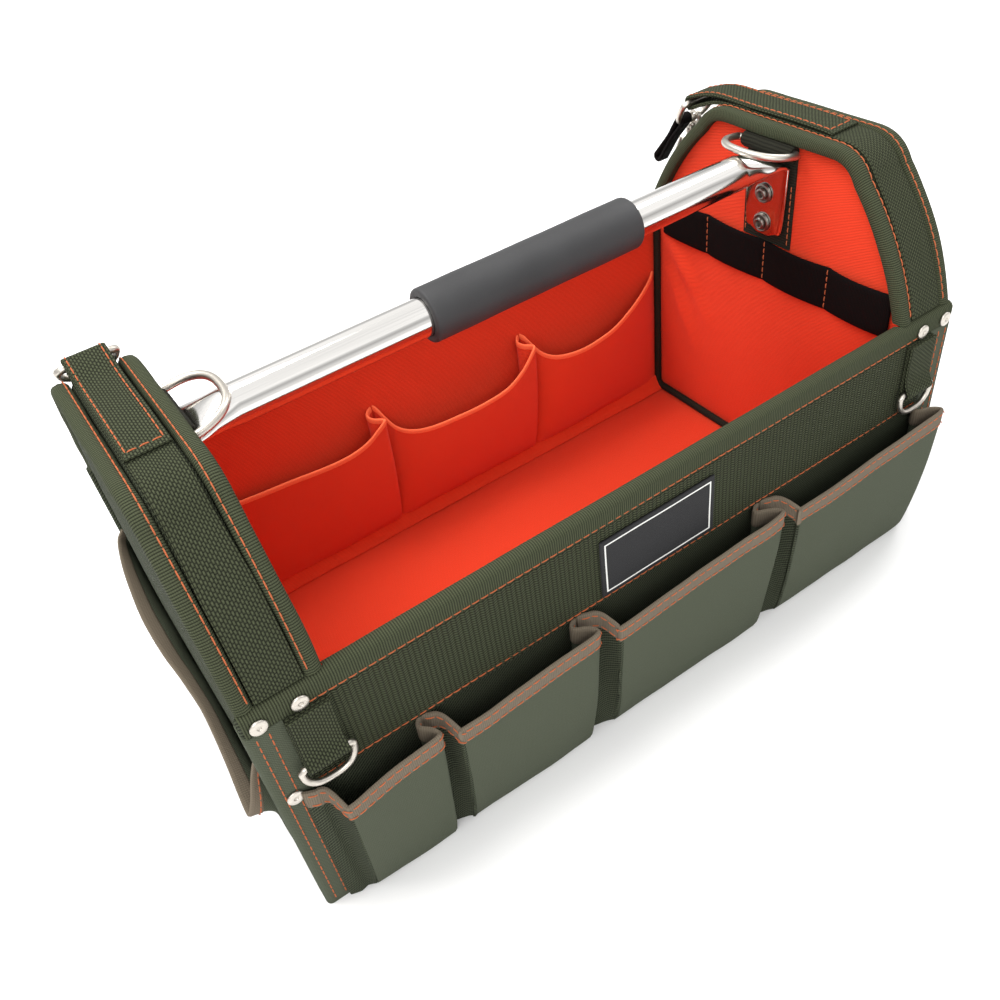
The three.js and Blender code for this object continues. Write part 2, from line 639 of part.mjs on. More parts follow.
function addFront() {
  addPiece('front_band', box([-LENGTH / 2 + CORNER_STRIP + GAP, LENGTH / 2 - CORNER_STRIP - GAP],
    [-bandFace, -wallFace - GAP], [bandLow, bandTop]), 'webbing');
  const turn = FRONT_RING.wire + GAP + TAB_CLOTH / 2;
  const bar = point(frontRingBar.y, frontRingBar.z);
  const frontLayer = -tabBack - TAB_CLOTH - GAP;
  const line = [
    point(-tabBack, bandTop), point(-tabBack, bar.y + turn), point(-tabBack, bar.y),
    ...arc(bar, turn, -20, -180, 8), point(bar.x - turn, bar.y + turn * 0.3),
    point(frontLayer, bar.y + turn * 3.2), point(frontLayer, bandTop),
  ];
  for (const [name, side] of [['left', -1], ['right', 1]]) {
    const x = side * tabPlace;
    addPiece(`${name}_front_tab`,
      prism('YZ', ribbon(line, TAB_CLOTH), x - TAB_WIDTH / 2, x + TAB_WIDTH / 2), 'webbing');
    const strip = [
      point(LENGTH / 2 - CORNER_STRIP, -wallFace - GAP),
      point(LENGTH / 2 - CORNER_STRIP, -wallFace - GAP - BINDING_CLOTH),
      point(LENGTH / 2 + GAP + BINDING_CLOTH, -wallFace - GAP - BINDING_CLOTH),
      point(LENGTH / 2 + GAP + BINDING_CLOTH, -wallFace + CORNER_RETURN),
      point(LENGTH / 2 + GAP, -wallFace + CORNER_RETURN), point(LENGTH / 2 + GAP, -wallFace - GAP),
    ];
    const geometry = prism('XY', strip, 0, bindingLow - GAP);
    addPiece(`${name}_corner_strip`, side > 0 ? geometry : mirrored(geometry), 'olive');
    const rivets = [['corner', CORNER_STRIP * 0.4], ['tab', CORNER_STRIP + TAB_WIDTH * 0.45]];
    for (const [place, across] of rivets) {
      addRivet(`${name}_${place}_rivet`, side * (LENGTH / 2 - across), bindingFace,
        bindingLow + RIVET_RADIUS + GAP);
    }
  }
  addRivet('left_pocket_rivet', -(LENGTH / 2 - CORNER_STRIP * 0.45), wallFace + GAP + BINDING_CLOTH,
    FRONT_POCKET_TOP);
  addPiece('label', box([-LABEL_WIDTH / 2, LABEL_WIDTH / 2], [-bandFace - GAP - LABEL_CLOTH, -bandFace - GAP],
    [bandLow + LABEL_LIFT, bandLow + LABEL_LIFT + LABEL_HEIGHT]), 'black');
}

function addRivet(name, x, face, z) {
  const rivet = addPiece(name, rivetGeometry(RIVET_RADIUS, RIVET_HEIGHT), 'nickel');
  rivet.rotation.x = Math.PI;
  rivet.position.set(x, -face - GAP, z);
}

// Bellows pockets. Each row of a table is one point across the pocket: where it lies
// along the wall, how far out it stands and how far its hem drops, all as shares.
const bellowsColumns = ['along', 'out', 'drop'];
const bellows = {
  front: [
    [0.00, 0.00, 0.0], [0.07, 0.35, 0.1], [0.16, 0.72, 0.5], [0.24, 1.00, 1.0], [0.45, 1.06, 0.8],
    [0.75, 1.04, 0.8], [1.05, 1.00, 0.6], [1.08, 0.72, 0.2], [1.04, 0.42, 0.0], [1.00, 0.00, 0.0],
  ],
  inner: [
    [0.00, 0.00, 0.0], [0.03, 0.30, 0.2], [0.06, 0.62, 0.6], [0.18, 0.88, 0.8], [0.34, 0.98, 0.95],
    [0.50, 1.00, 1.0], [0.66, 0.98, 0.95], [0.82, 0.88, 0.8], [0.94, 0.62, 0.6], [0.97, 0.30, 0.2],
    [1.00, 0.00, 0.0],
  ],
  outer: [
    [0.00, 0.00, 0.0], [0.01, 0.55, 0.8], [0.03, 1.10, 1.5], [0.08, 1.05, 1.3], [0.25, 0.85, 1.0],
    [0.50, 0.80, 0.8], [0.75, 0.70, 0.6], [0.92, 0.55, 0.4], [0.98, 0.30, 0.2], [1.00, 0.00, 0.0],
  ],
};
const pocketLevels = [0, 0.3, 0.65, 1];

function pocketGrids(table, from, to, low, top, depth, drop, foot, place) {
  const outer = [];
  const inner = [];
  const least = POCKET_CLOTH + GAP;
  const stations = named(bellowsColumns, table);
  for (const level of pocketLevels) {
    const spread = Math.sqrt(level);
    const line = stations.map(({ along, out }) => {
      const straight = Math.min(Math.max(along, 0), 1);
      const share = straight + (along - straight) * spread;
      const standing = Math.max(depth * out * (foot + (1 - foot) * spread), least);
      return point(from + (to - from) * share, out ? standing : 0);
    });
    const within = offsetLine(line, -POCKET_CLOTH);
    within[0].y = 0;
    within[within.length - 1].y = 0;
    const height = (column) => low + (top - drop * stations[column].drop - low) * level;
    outer.push(line.map((p, i) => place(p.x, p.y, height(i))));
    inner.push(within.map((p, i) => place(p.x, Math.max(p.y, 0), height(i))));
  }
  return [outer, inner];
}

function addPockets() {
  const frontFace = -wallFace - GAP;
  const onFront = (along, out, z) => new THREE.Vector3(along, frontFace - out, z);
  // Edges of the four front pockets as shares of the wall between the corner strips
  const edges = [[0.005, 0.14], [0.165, 0.365], [0.405, 0.68], [0.72, 0.985]];
  const clear = LENGTH - 2 * CORNER_STRIP;
  edges.forEach(([from, to], i) => {
    const [outer, inner] = pocketGrids(bellows.front, clear * (from - 0.5), clear * (to - 0.5),
      0, FRONT_POCKET_TOP, FRONT_POCKET_DEPTH, FRONT_POCKET_DROP, POCKET_FOOT.front, onFront);
    addPiece(`front_pocket_${i + 1}`, cloth(outer, inner), 'olive');
  });

  const backFace = liningFace - GAP;
  const onBack = (along, out, z) => new THREE.Vector3(along, backFace - out, z);
  const reach = endLiningFace - GAP - PIPING - GAP;
  const seams = [-reach, -reach * 0.302, reach * 0.337, reach];
  for (let i = 0; i < 3; i++) {
    const grids = pocketGrids(bellows.inner, seams[i], seams[i + 1], floorTop + GAP,
      INNER_POCKET_TOP, INNER_POCKET_DEPTH, INNER_POCKET_DROP, POCKET_FOOT.inner, onBack);
    const name = ['left', 'middle', 'right'][i];
    addPiece(`${name}_inner_pocket`, cloth(...grids), 'red');
  }

  const endOut = -padOutside - GAP;
  const onEnd = (along, out, z) => new THREE.Vector3(endOut - out, along, z);
  const grids = pocketGrids(bellows.outer, -OUTER_POCKET_HALF, OUTER_POCKET_HALF, OUTER_POCKET_LOW,
    OUTER_POCKET_TOP, OUTER_POCKET_DEPTH, OUTER_POCKET_DROP, POCKET_FOOT.outer, onEnd);
  addPiece('left_outer_pocket', cloth(...grids), 'olive');
}

// Elastic band of tool loops on the right end's lining
function addElastic() {
  const face = endLiningFace - GAP - ELASTIC_CLOTH / 2;
  // It reaches from rim to rim where the panel is narrowest beside it
  const edge = endOutline(RIM_DEPTH + 2 * GAP);
  const height = Math.max(elasticTop, rimFoot);
  const besideRim = (points) => {
    const above = points.findIndex((p) => p.y > height);
    const [low, high] = [points[above - 1], points[above]];
    return low.x + (high.x - low.x) * (height - low.y) / (high.y - low.y);
  };
  const front = besideRim(edge);
  const back = besideRim(edge.slice().reverse());
  const seams = [front, -ELASTIC_LOOP, 0, ELASTIC_LOOP, back];
  const steps = 6;
  const line = [];
  for (let i = 0; i < seams.length - 1; i++) {
    for (let k = 0; k < steps; k++) {
      const share = k / steps;
      line.push(point(face - ELASTIC_BULGE * Math.sin(Math.PI * share) ** 2,
        seams[i] + (seams[i + 1] - seams[i]) * share));
    }
  }
  line.push(point(face, back));
  addPiece('tool_elastic',
    prism('XY', ribbon(line, ELASTIC_CLOTH), elasticTop - ELASTIC_HEIGHT, elasticTop), 'black');
}

// The snap hook and the black loop hang from the right strap ring
function addHook() {
  const bar = strapEnds.right;
  const onBow = (across) => {
    const depth = bowDepth(STRAP_RING, across);
    return new THREE.Vector3(
      strapCentre + across, bar.y + depth * Math.cos(bar.lean), bar.z - depth * Math.sin(bar.lean));
  };
  const hanging = new THREE.Group();
  hanging.position.copy(onBow(STRAP_RING.bar * HOOK_PLACE));
  hanging.rotation.x = hookLean;
  tote.add(hanging);

  const wireLoop = (halfWidth, top, low) => {
    const line = [];
    for (let i = 0; i < 16; i++) {
      const angle = 2 * Math.PI * i / 16;
      line.push(point(halfWidth * Math.cos(angle), (top + low) / 2 + (top - low) / 2 * Math.sin(angle)));
    }
    return line;
  };
  const eye = bent(wireLoop(HOOK_EYE, HOOK_EYE, -HOOK_EYE), HOOK_WIRE, true);
  const collarTop = -HOOK_EYE;
  const collarLow = collarTop - HOOK_COLLAR;
  const collar = turned([
    [0, collarTop], [HOOK_COLLAR_RADIUS, collarTop], [HOOK_COLLAR_RADIUS, collarLow], [0, collarLow],
  ]);
  addPiece('hook_eye', joined(eye, collar), 'nickel', hanging);

  const barrelTop = collarLow - GAP;
  const barrelLow = barrelTop - HOOK_BARREL;
  const shankLow = -HOOK_LENGTH * 0.58;
  const barrel = turned([
    [0, barrelTop], [HOOK_COLLAR_RADIUS * 0.8, barrelTop],
    [HOOK_COLLAR_RADIUS, barrelTop - HOOK_BARREL * 0.3],
    [HOOK_COLLAR_RADIUS * 0.9, barrelLow], [HOOK_WIRE * 1.2, barrelLow - HOOK_WIRE],
    [HOOK_WIRE * 1.2, shankLow], [0, shankLow - HOOK_WIRE],
  ]);
  const w = HOOK_HALF_WIDTH;
  const nose = shankLow - HOOK_OPENING;
  const bowLow = -HOOK_LENGTH + HOOK_WIRE;
  const curve = [
    point(0, shankLow + HOOK_WIRE), point(-w * 0.35, shankLow - HOOK_WIRE),
    point(-w * 0.85, nose + HOOK_WIRE),
    point(-w, (nose + bowLow) / 2), ...arc(point(0, bowLow + w), w, 180, 360, 8).slice(1), point(w, nose),
  ];
  addPiece('hook_body', joined(barrel, bent(curve, HOOK_WIRE, false)), 'nickel', hanging);

  const boltTop = shankLow + 2 * HOOK_KNOB;
  const knobLow = boltTop - HOOK_KNOB * 1.3;
  const bolt = bent([point(w, boltTop), point(w, nose + GAP)], HOOK_WIRE, false);
  const knob = box([-HOOK_KNOB / 2, HOOK_KNOB / 2], [w, w + HOOK_KNOB * 1.3], [knobLow, knobLow + HOOK_KNOB]);
  const link = box([-HOOK_KNOB * 0.4, HOOK_KNOB * 0.4], [HOOK_WIRE * 1.2 + GAP, w],
    [knobLow + HOOK_KNOB * 0.1, knobLow + HOOK_KNOB * 1.2]);
  addPiece('hook_trigger', joined(bolt, knob, link), 'nickel', hanging);

  const loopHolder = new THREE.Group();
  loopHolder.position.copy(onBow(STRAP_RING.bar * LOOP_PLACE));
  loopHolder.rotation.x = loopLean;
  tote.add(loopHolder);
  const half = LOOP_THICKNESS / 2;
  const slot = STRAP_RING.wire + GAP;
  const play = LOOP_WIDTH * 0.5;
  const loopFoot = play - LOOP_LENGTH + 2 * half;
  const outline = [
    ...arc(point(0, play), half, 0, 180, 8), ...arc(point(0, loopFoot), half, 180, 360, 8),
  ];
  const hole = [...arc(point(0, play), slot, 0, 180, 6), ...arc(point(0, -play), slot, 180, 360, 6)];
  addPiece('black_loop', prism('YZ', outline, -LOOP_WIDTH / 2, LOOP_WIDTH / 2, hole), 'black', loopHolder);
}

const hookLean = Math.PI / 2 - sideSlope + THREE.MathUtils.degToRad(HOOK_SWING);
const loopLean = Math.PI / 2 - sideSlope + THREE.MathUtils.degToRad(LOOP_SWING);

// A round wire along a line in the YZ plane
function bent(line, wire, closedLoop) {
  const count = line.length;
  const rings = line.map((p, i) => {
    const before = closedLoop ? line[(i + count - 1) % count] : line[Math.max(i - 1, 0)];
    const after = closedLoop ? line[(i + 1) % count] : line[Math.min(i + 1, count - 1)];
    const along = after.clone().sub(before).normalize();
    const points = [];
    for (let k = 0; k < WIRE_SIDES; k++) {
      const angle = 2 * Math.PI * k / WIRE_SIDES;
      const sideways = wire * Math.cos(angle);
      points.push(new THREE.Vector3(
        wire * Math.sin(angle), p.x - along.y * sideways, p.y + along.x * sideways));
    }
    return points;
  });
  return loft(rings, closedLoop);
}

// A turned body about Z from rows of radius and height, listed downwards
function turned(rows) {
  const profile = rows.map(([radius, height]) => point(radius, height)).reverse();
  return new THREE.LatheGeometry(profile, 14).rotateX(Math.PI / 2);
}

// Dark tape over the seams at the inner back corners and along the end panels' feet
function addPiping() {
  const face = endLiningFace - GAP;
  const corner = liningFace - GAP;
  const low = floorTop + GAP;
  for (const [name, side] of [['left', -1], ['right', 1]]) {
    const piping = joined(
      box([face - PIPING, face], [corner - PIPING, corner], [low, bindingLow - GAP]),
      box([face - PIPING, face], [-corner, corner], [low, low + PIPING]));
    addPiece(`${name}_piping`, side > 0 ? piping : mirrored(piping), 'darkOlive');
  }
}

addShell();
addEnds();
addHandle();
addRings();
addFront();
addPockets();
addElastic();
addPiping();
addHook();

// The origin is the middle of the whole tote, on the floor
const bounds = new THREE.Box3().setFromObject(tote, true);
const middle = bounds.getCenter(new THREE.Vector3());
tote.position.set(-middle.x, -middle.y, -bounds.min.z);

export default tote;
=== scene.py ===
"""Looks of the open top tool tote: its cloth, webbing, metal and stitching, around the fixed frame.

Shapes are worked out in millimetres from the middle of the tote's body on the floor, with X along
the length, the front at -Y and Z up. Each piece becomes a mesh in metres in the frame's own place.
"""

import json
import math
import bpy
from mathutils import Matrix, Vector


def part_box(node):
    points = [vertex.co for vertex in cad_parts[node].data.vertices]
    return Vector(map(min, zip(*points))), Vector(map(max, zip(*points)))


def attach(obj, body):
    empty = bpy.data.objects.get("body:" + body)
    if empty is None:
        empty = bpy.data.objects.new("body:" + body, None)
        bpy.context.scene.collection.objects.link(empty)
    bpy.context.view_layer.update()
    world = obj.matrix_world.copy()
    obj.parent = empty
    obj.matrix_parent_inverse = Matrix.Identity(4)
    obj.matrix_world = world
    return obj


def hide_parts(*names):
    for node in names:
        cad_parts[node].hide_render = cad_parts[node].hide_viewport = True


bl_info = {
    "name": "Open top tool tote",
    "version": (1, 0, 0),
    "blender": (4, 5, 0),
    "location": "3D View > Sidebar > Tote",
    "description": "Cloth, webbing, metal and stitching of an open top tool tote",
    "category": "Add Mesh",
}

import bmesh
import bpy
import numpy as np
from bpy.props import FloatProperty, FloatVectorProperty, PointerProperty
from mathutils import Matrix, Vector, noise

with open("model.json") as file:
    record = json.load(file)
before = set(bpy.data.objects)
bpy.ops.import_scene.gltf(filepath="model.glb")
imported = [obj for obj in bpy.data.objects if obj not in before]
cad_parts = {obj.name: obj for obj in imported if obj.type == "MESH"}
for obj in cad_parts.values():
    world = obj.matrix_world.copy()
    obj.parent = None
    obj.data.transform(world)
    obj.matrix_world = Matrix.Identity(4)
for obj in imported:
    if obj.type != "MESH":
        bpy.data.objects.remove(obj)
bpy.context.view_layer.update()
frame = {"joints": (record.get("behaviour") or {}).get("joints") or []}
MM = 0.001

base_low, base_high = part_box("base_panel")
MIDDLE = np.array([(base_low.x + base_high.x) / 2, (base_low.y + base_high.y) / 2, 0.0]) / MM


def face(node, side, axis):
    """Where a frame piece's low (0) or high (1) face lies along an axis, from the body's middle."""
    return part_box(node)[side][axis] / MM - MIDDLE[axis]


def extent(node, axis):
    return face(node, 1, axis) - face(node, 0, axis)


def centre(node):
    return np.array([(face(node, 0, axis) + face(node, 1, axis)) / 2 for axis in range(3)])


# Places that the frame gives
HALF_LENGTH = face("front_wall", 1, 0)
WALL_FACE = face("back_wall", 1, 1)
WALL_INSIDE = face("back_wall", 0, 1)
WALL_HEIGHT = face("back_wall", 1, 2)
LINING_FACE = face("back_lining", 0, 1)
LINING_BACK = face("back_lining", 1, 1)
FLOOR_TOP = face("floor_lining", 1, 2)
BOARD_TOP = face("base_panel", 1, 2)
BINDING_FACE = face("back_binding", 1, 1)
BINDING_INNER = face("back_binding", 0, 1)
BINDING_LOW = face("back_binding", 0, 2)
BINDING_TOP = face("back_binding", 1, 2)
BAND_LOW = face("front_band", 0, 2)
BAND_TOP = face("front_band", 1, 2)
BAND_HALF = face("front_band", 1, 0)
BAND_FACE = -face("front_band", 0, 1)
END_FACE = face("right_inner_rim", 0, 0)
RIM_WIDTH = face("right_inner_rim", 1, 0) - END_FACE
RIM_FOOT = face("right_inner_rim", 0, 2)
END_HEIGHT = face("right_inner_rim", 1, 2)
END_LINING_FACE = face("right_end_lining", 0, 0)
END_LINING_BACK = face("right_end_lining", 1, 0)
PAD_INSIDE = face("right_end_panel", 0, 0)
PAD_OUTSIDE = face("right_end_panel", 1, 0)
STRAP_MIDDLE = centre("right_strap")[0]
STRAP_WIDTH = extent("right_strap", 0)
TUBE_HEIGHT = centre("handle_grip")[2]

# Room between pieces, the end panel's outline, and cloth sizes that boxes don't give
GAP = 0.3
END_TOP_FRONT = 57.0
END_TOP_BACK = 48.0
END_CORNER = 15.0
END_SIDE_BULGE = 4.8
RIM_DEPTH = 7.0
BINDING_CLOTH = 1.4
BAND_CLOTH = 1.5
STRAP_CLOTH = 2.0
TAB_CLOTH = 1.6
TAB_WIDTH = 20.0
CORNER_STRIP = 15.0
PATCH_CLOTH = 1.8
ELASTIC_CLOTH = 1.6
TUBE_RADIUS = 9.6
TAB_PLATE = 3.5
TAB_PLATE_HALF = 15.0
TUBE_END_LENGTH = 26.0
TAB_PLATE_DROP = 44.0
INNER_RING_LIFT = 7.2
POCKET_LIFT = 8.5
PIPING = 4.5
ELASTIC_LOOP = 47.0
ELASTIC_BULGE = 2.4
OUTER_POCKET_DEPTH = 13.0
OUTER_POCKET_DROP = 18.0
OUTER_POCKET_FLARE = 11.0
OUTER_HEM = 3.0
SIDES = (("left", -1), ("right", 1))
WALLS = (("front", -1), ("back", 1))

# Rings: bar length and reach are measured at the middle of the wire
INNER_RING = {"bar": 42.0, "reach": 23.0, "wire": 2.0}
STRAP_RING = {"bar": 26.0, "reach": 19.0, "wire": 1.8}
FRONT_RING = {"bar": 24.5, "reach": 14.0, "wire": 1.6}
RING_FLATNESS = 0.8


# Sizes and colours that a user would change


def size_property(name, description, value, least=0.0):
    return FloatProperty(name=name, description=description + ", in millimetres", default=value, min=least)


class ToteSizes(bpy.types.PropertyGroup):
    stitch_pitch: size_property("Stitch pitch", "From one stitch to the next", 4.6, 1.0)
    stitch_length: size_property("Stitch length", "Thread that shows of each stitch", 4.1, 0.5)
    thread: size_property("Thread", "Half the thread's thickness", 0.32, 0.1)
    hem: size_property("Hem", "Height of the tape on the pockets' edges", 9.0, 2.0)
    pocket_cloth: size_property("Pocket cloth", "Thickness of the pockets' cloth", 1.3, 0.4)
    end_crown: size_property("End padding", "How far the end panels' faces swell", 1.8)
    wrinkle: size_property("Wrinkles", "Height of the pockets' soft wrinkles", 0.8)


def colour_property(name, description, value):
    return FloatVectorProperty(
        name=name, description=description, subtype="COLOR", size=3, min=0.0, max=1.0, default=value)


class ToteColours(bpy.types.PropertyGroup):
    olive: colour_property(
        "Olive cloth", "Woven nylon of the walls and the pockets' sides", (0.062, 0.073, 0.044))
    pocket: colour_property(
        "Pocket cloth", "Smoother nylon of the outside pockets' faces", (0.078, 0.089, 0.060))
    webbing: colour_property("Webbing", "Straps, bindings and the wide front band", (0.064, 0.074, 0.040))
    dark: colour_property("Dark webbing", "Patches behind the handle and seam tape", (0.018, 0.018, 0.012))
    red: colour_property("Lining", "Lining and inside pockets", (0.86, 0.06, 0.02))
    lining_hem: colour_property("Lining hem", "Edge of the inside pockets", (0.92, 0.17, 0.07))
    hem: colour_property("Hem", "Tape on the outside pockets", (0.16, 0.13, 0.095))
    thread: colour_property("Thread", "Orange sewing thread", (0.50, 0.13, 0.05))
    foam: colour_property("Foam", "Grip on the handle", (0.013, 0.013, 0.014))
    black: colour_property("Black", "Elastic, label and cloth loop", (0.003, 0.0015, 0.0015))
    steel: colour_property("Steel", "Polished handle tube", (0.80, 0.78, 0.75))
    nickel: colour_property("Nickel", "Rings, rivets and hook", (0.60, 0.56, 0.50))


def sizes():
    return bpy.context.scene.tote_sizes


def colours():
    return bpy.context.scene.tote_colours


# Lines and grids of points


def unit(vectors):
    return vectors / np.maximum(np.linalg.norm(vectors, axis=-1, keepdims=True), 1e-9)


def run_lengths(points):
    steps = np.linalg.norm(np.diff(points, axis=0), axis=-1)
    return np.concatenate([[0.0], np.cumsum(steps)])


def lattice(first, second):
    """Each number of one row with each number of another, as a grid of places."""
    return np.stack(np.meshgrid(first, second, indexing="ij"), -1)


def space(x, y, z):
    """Points from three sets of coordinates, which are spread out to one shape."""
    return np.stack(np.broadcast_arrays(x, y, z), -1)


def resampled(points, count):
    """The same line with evenly spaced points."""
    points = np.asarray(points, float)
    lengths = run_lengths(points)
    places = np.linspace(0.0, lengths[-1], count)
    return np.stack([np.interp(places, lengths, points[:, k]) for k in range(points.shape[1])], -1)


def smooth_line(points, spans):
    """A smooth line through points, with a number of steps between each two of them."""
    points = np.asarray(points, float)
    ends = np.concatenate([2 * points[:1] - points[1:2], points, 2 * points[-1:] - points[-2:-1]])
    steps = np.linspace(0.0, 1.0, spans, endpoint=False)[:, None]
    line = []
    for before, start, end, after in zip(ends, ends[1:], ends[2:], ends[3:]):
        pull_out = (end - before) / 2
        pull_in = (after - start) / 2
        cubic = 2 * (start - end) + pull_out + pull_in
        square = 3 * (end - start) - 2 * pull_out - pull_in
        line.append(((cubic * steps + square) * steps + pull_out) * steps + start)
    return np.concatenate(line + [points[-1:]])


def ripple(points, size, height, seed):
    """Smooth random heights of about that size at each point of a grid."""
    shape = points.shape[:-1]
    flat = points.reshape(-1, 3) / size + seed * 7.3
    return height * np.array([noise.noise(Vector(p)) for p in flat]).reshape(shape)


def fold(points, start, end, width, height):
    """Heights of one soft fold between two places of a grid, fading out at both ends."""
    start, end = np.array(start, float), np.array(end, float)
    along = end - start
    share = np.clip(((points - start) @ along) / (along @ along), 0.0, 1.0)
    away = np.linalg.norm(points - start - share[..., None] * along, axis=-1)
    return height * np.exp(-(away / width) ** 2) * np.sin(np.pi * share) ** 0.5


def offset_line(points, distance):
    """A flat line moved sideways, to its left when the distance is positive."""
    ahead = unit(np.gradient(points, axis=0))
    return points + distance * np.stack([-ahead[:, 1], ahead[:, 0]], -1)


def quadratic(start, pull, end, count):
    t = np.linspace(0.0, 1.0, count)[:, None]
    return start * (1 - t) ** 2 + 2 * pull * t * (1 - t) + end * t ** 2


def half_outline(top_half, count):
    """The front half of an end panel's edge, from its foot up to the middle of its top."""
    foot = np.array([-WALL_FACE, WALL_HEIGHT])
    corner = np.array([-top_half, END_HEIGHT])
    slope = unit(corner - foot)
    side_end = corner - slope * END_CORNER
    outwards = np.array([-slope[1], slope[0]])
    bulge = (foot + side_end) / 2 + outwards * 2 * END_SIDE_BULGE
    return np.concatenate([
        quadratic(foot, bulge, side_end, count),
        quadratic(side_end, corner, corner + [END_CORNER, 0.0], count // 2)[1:],
        np.linspace(corner + [END_CORNER, 0.0], [0.0, END_HEIGHT], count // 3)[1:],
    ])


def end_outline(inset, count=28):
    """Edge of an end panel above the walls, as Y and Z, from the front foot over to the back."""
    back = half_outline(END_TOP_BACK, count)[::-1][1:] * [-1.0, 1.0]
    return offset_line(np.concatenate([half_outline(END_TOP_FRONT, count), back]), -inset)


def outline_above(inset, foot, count):
    """The end panel's edge above a height, evenly resampled, starting and ending at that height."""
    line = resampled(end_outline(inset), 400)
    kept = line[line[:, 1] >= foot]
    for place, step in ((0, 1), (-1, -1)):
        if kept[place, 1] > foot:
            slope = kept[place + step] - kept[place]
            kept[place] = kept[place] + slope * (foot - kept[place, 1]) / slope[1]
    return resampled(kept, count)


def arc_points(middle, radius, start, end, count):
    angles = np.radians(np.linspace(start, end, count))
    return np.stack([middle[0] + radius * np.cos(angles), middle[1] + radius * np.sin(angles)], -1)


# Sections that are swept along lines, as sideways and upwards


def flat_section(width, thick, across=8, edge=None):
    """Flat webbing with soft edges. The upper face comes first, from left to right."""
    edge = thick / 2 if edge is None else edge
    places = np.linspace(-width / 2 + edge, width / 2 - edge, across + 1)
    turn = np.radians([60, 30, 0, -30, -60])
    right = np.stack([width / 2 - edge + edge * np.cos(turn), thick / 2 * np.sin(turn)], -1)
    upper = np.stack([places, np.full(across + 1, thick / 2)], -1)
    return np.concatenate([upper, right, upper[::-1] * [1, -1], right[::-1] * [-1, 1]])


def round_section(radius, sides):
    turn = np.linspace(0.0, 2 * np.pi, sides, endpoint=False)
    return radius * np.stack([np.cos(turn), np.sin(turn)], -1)


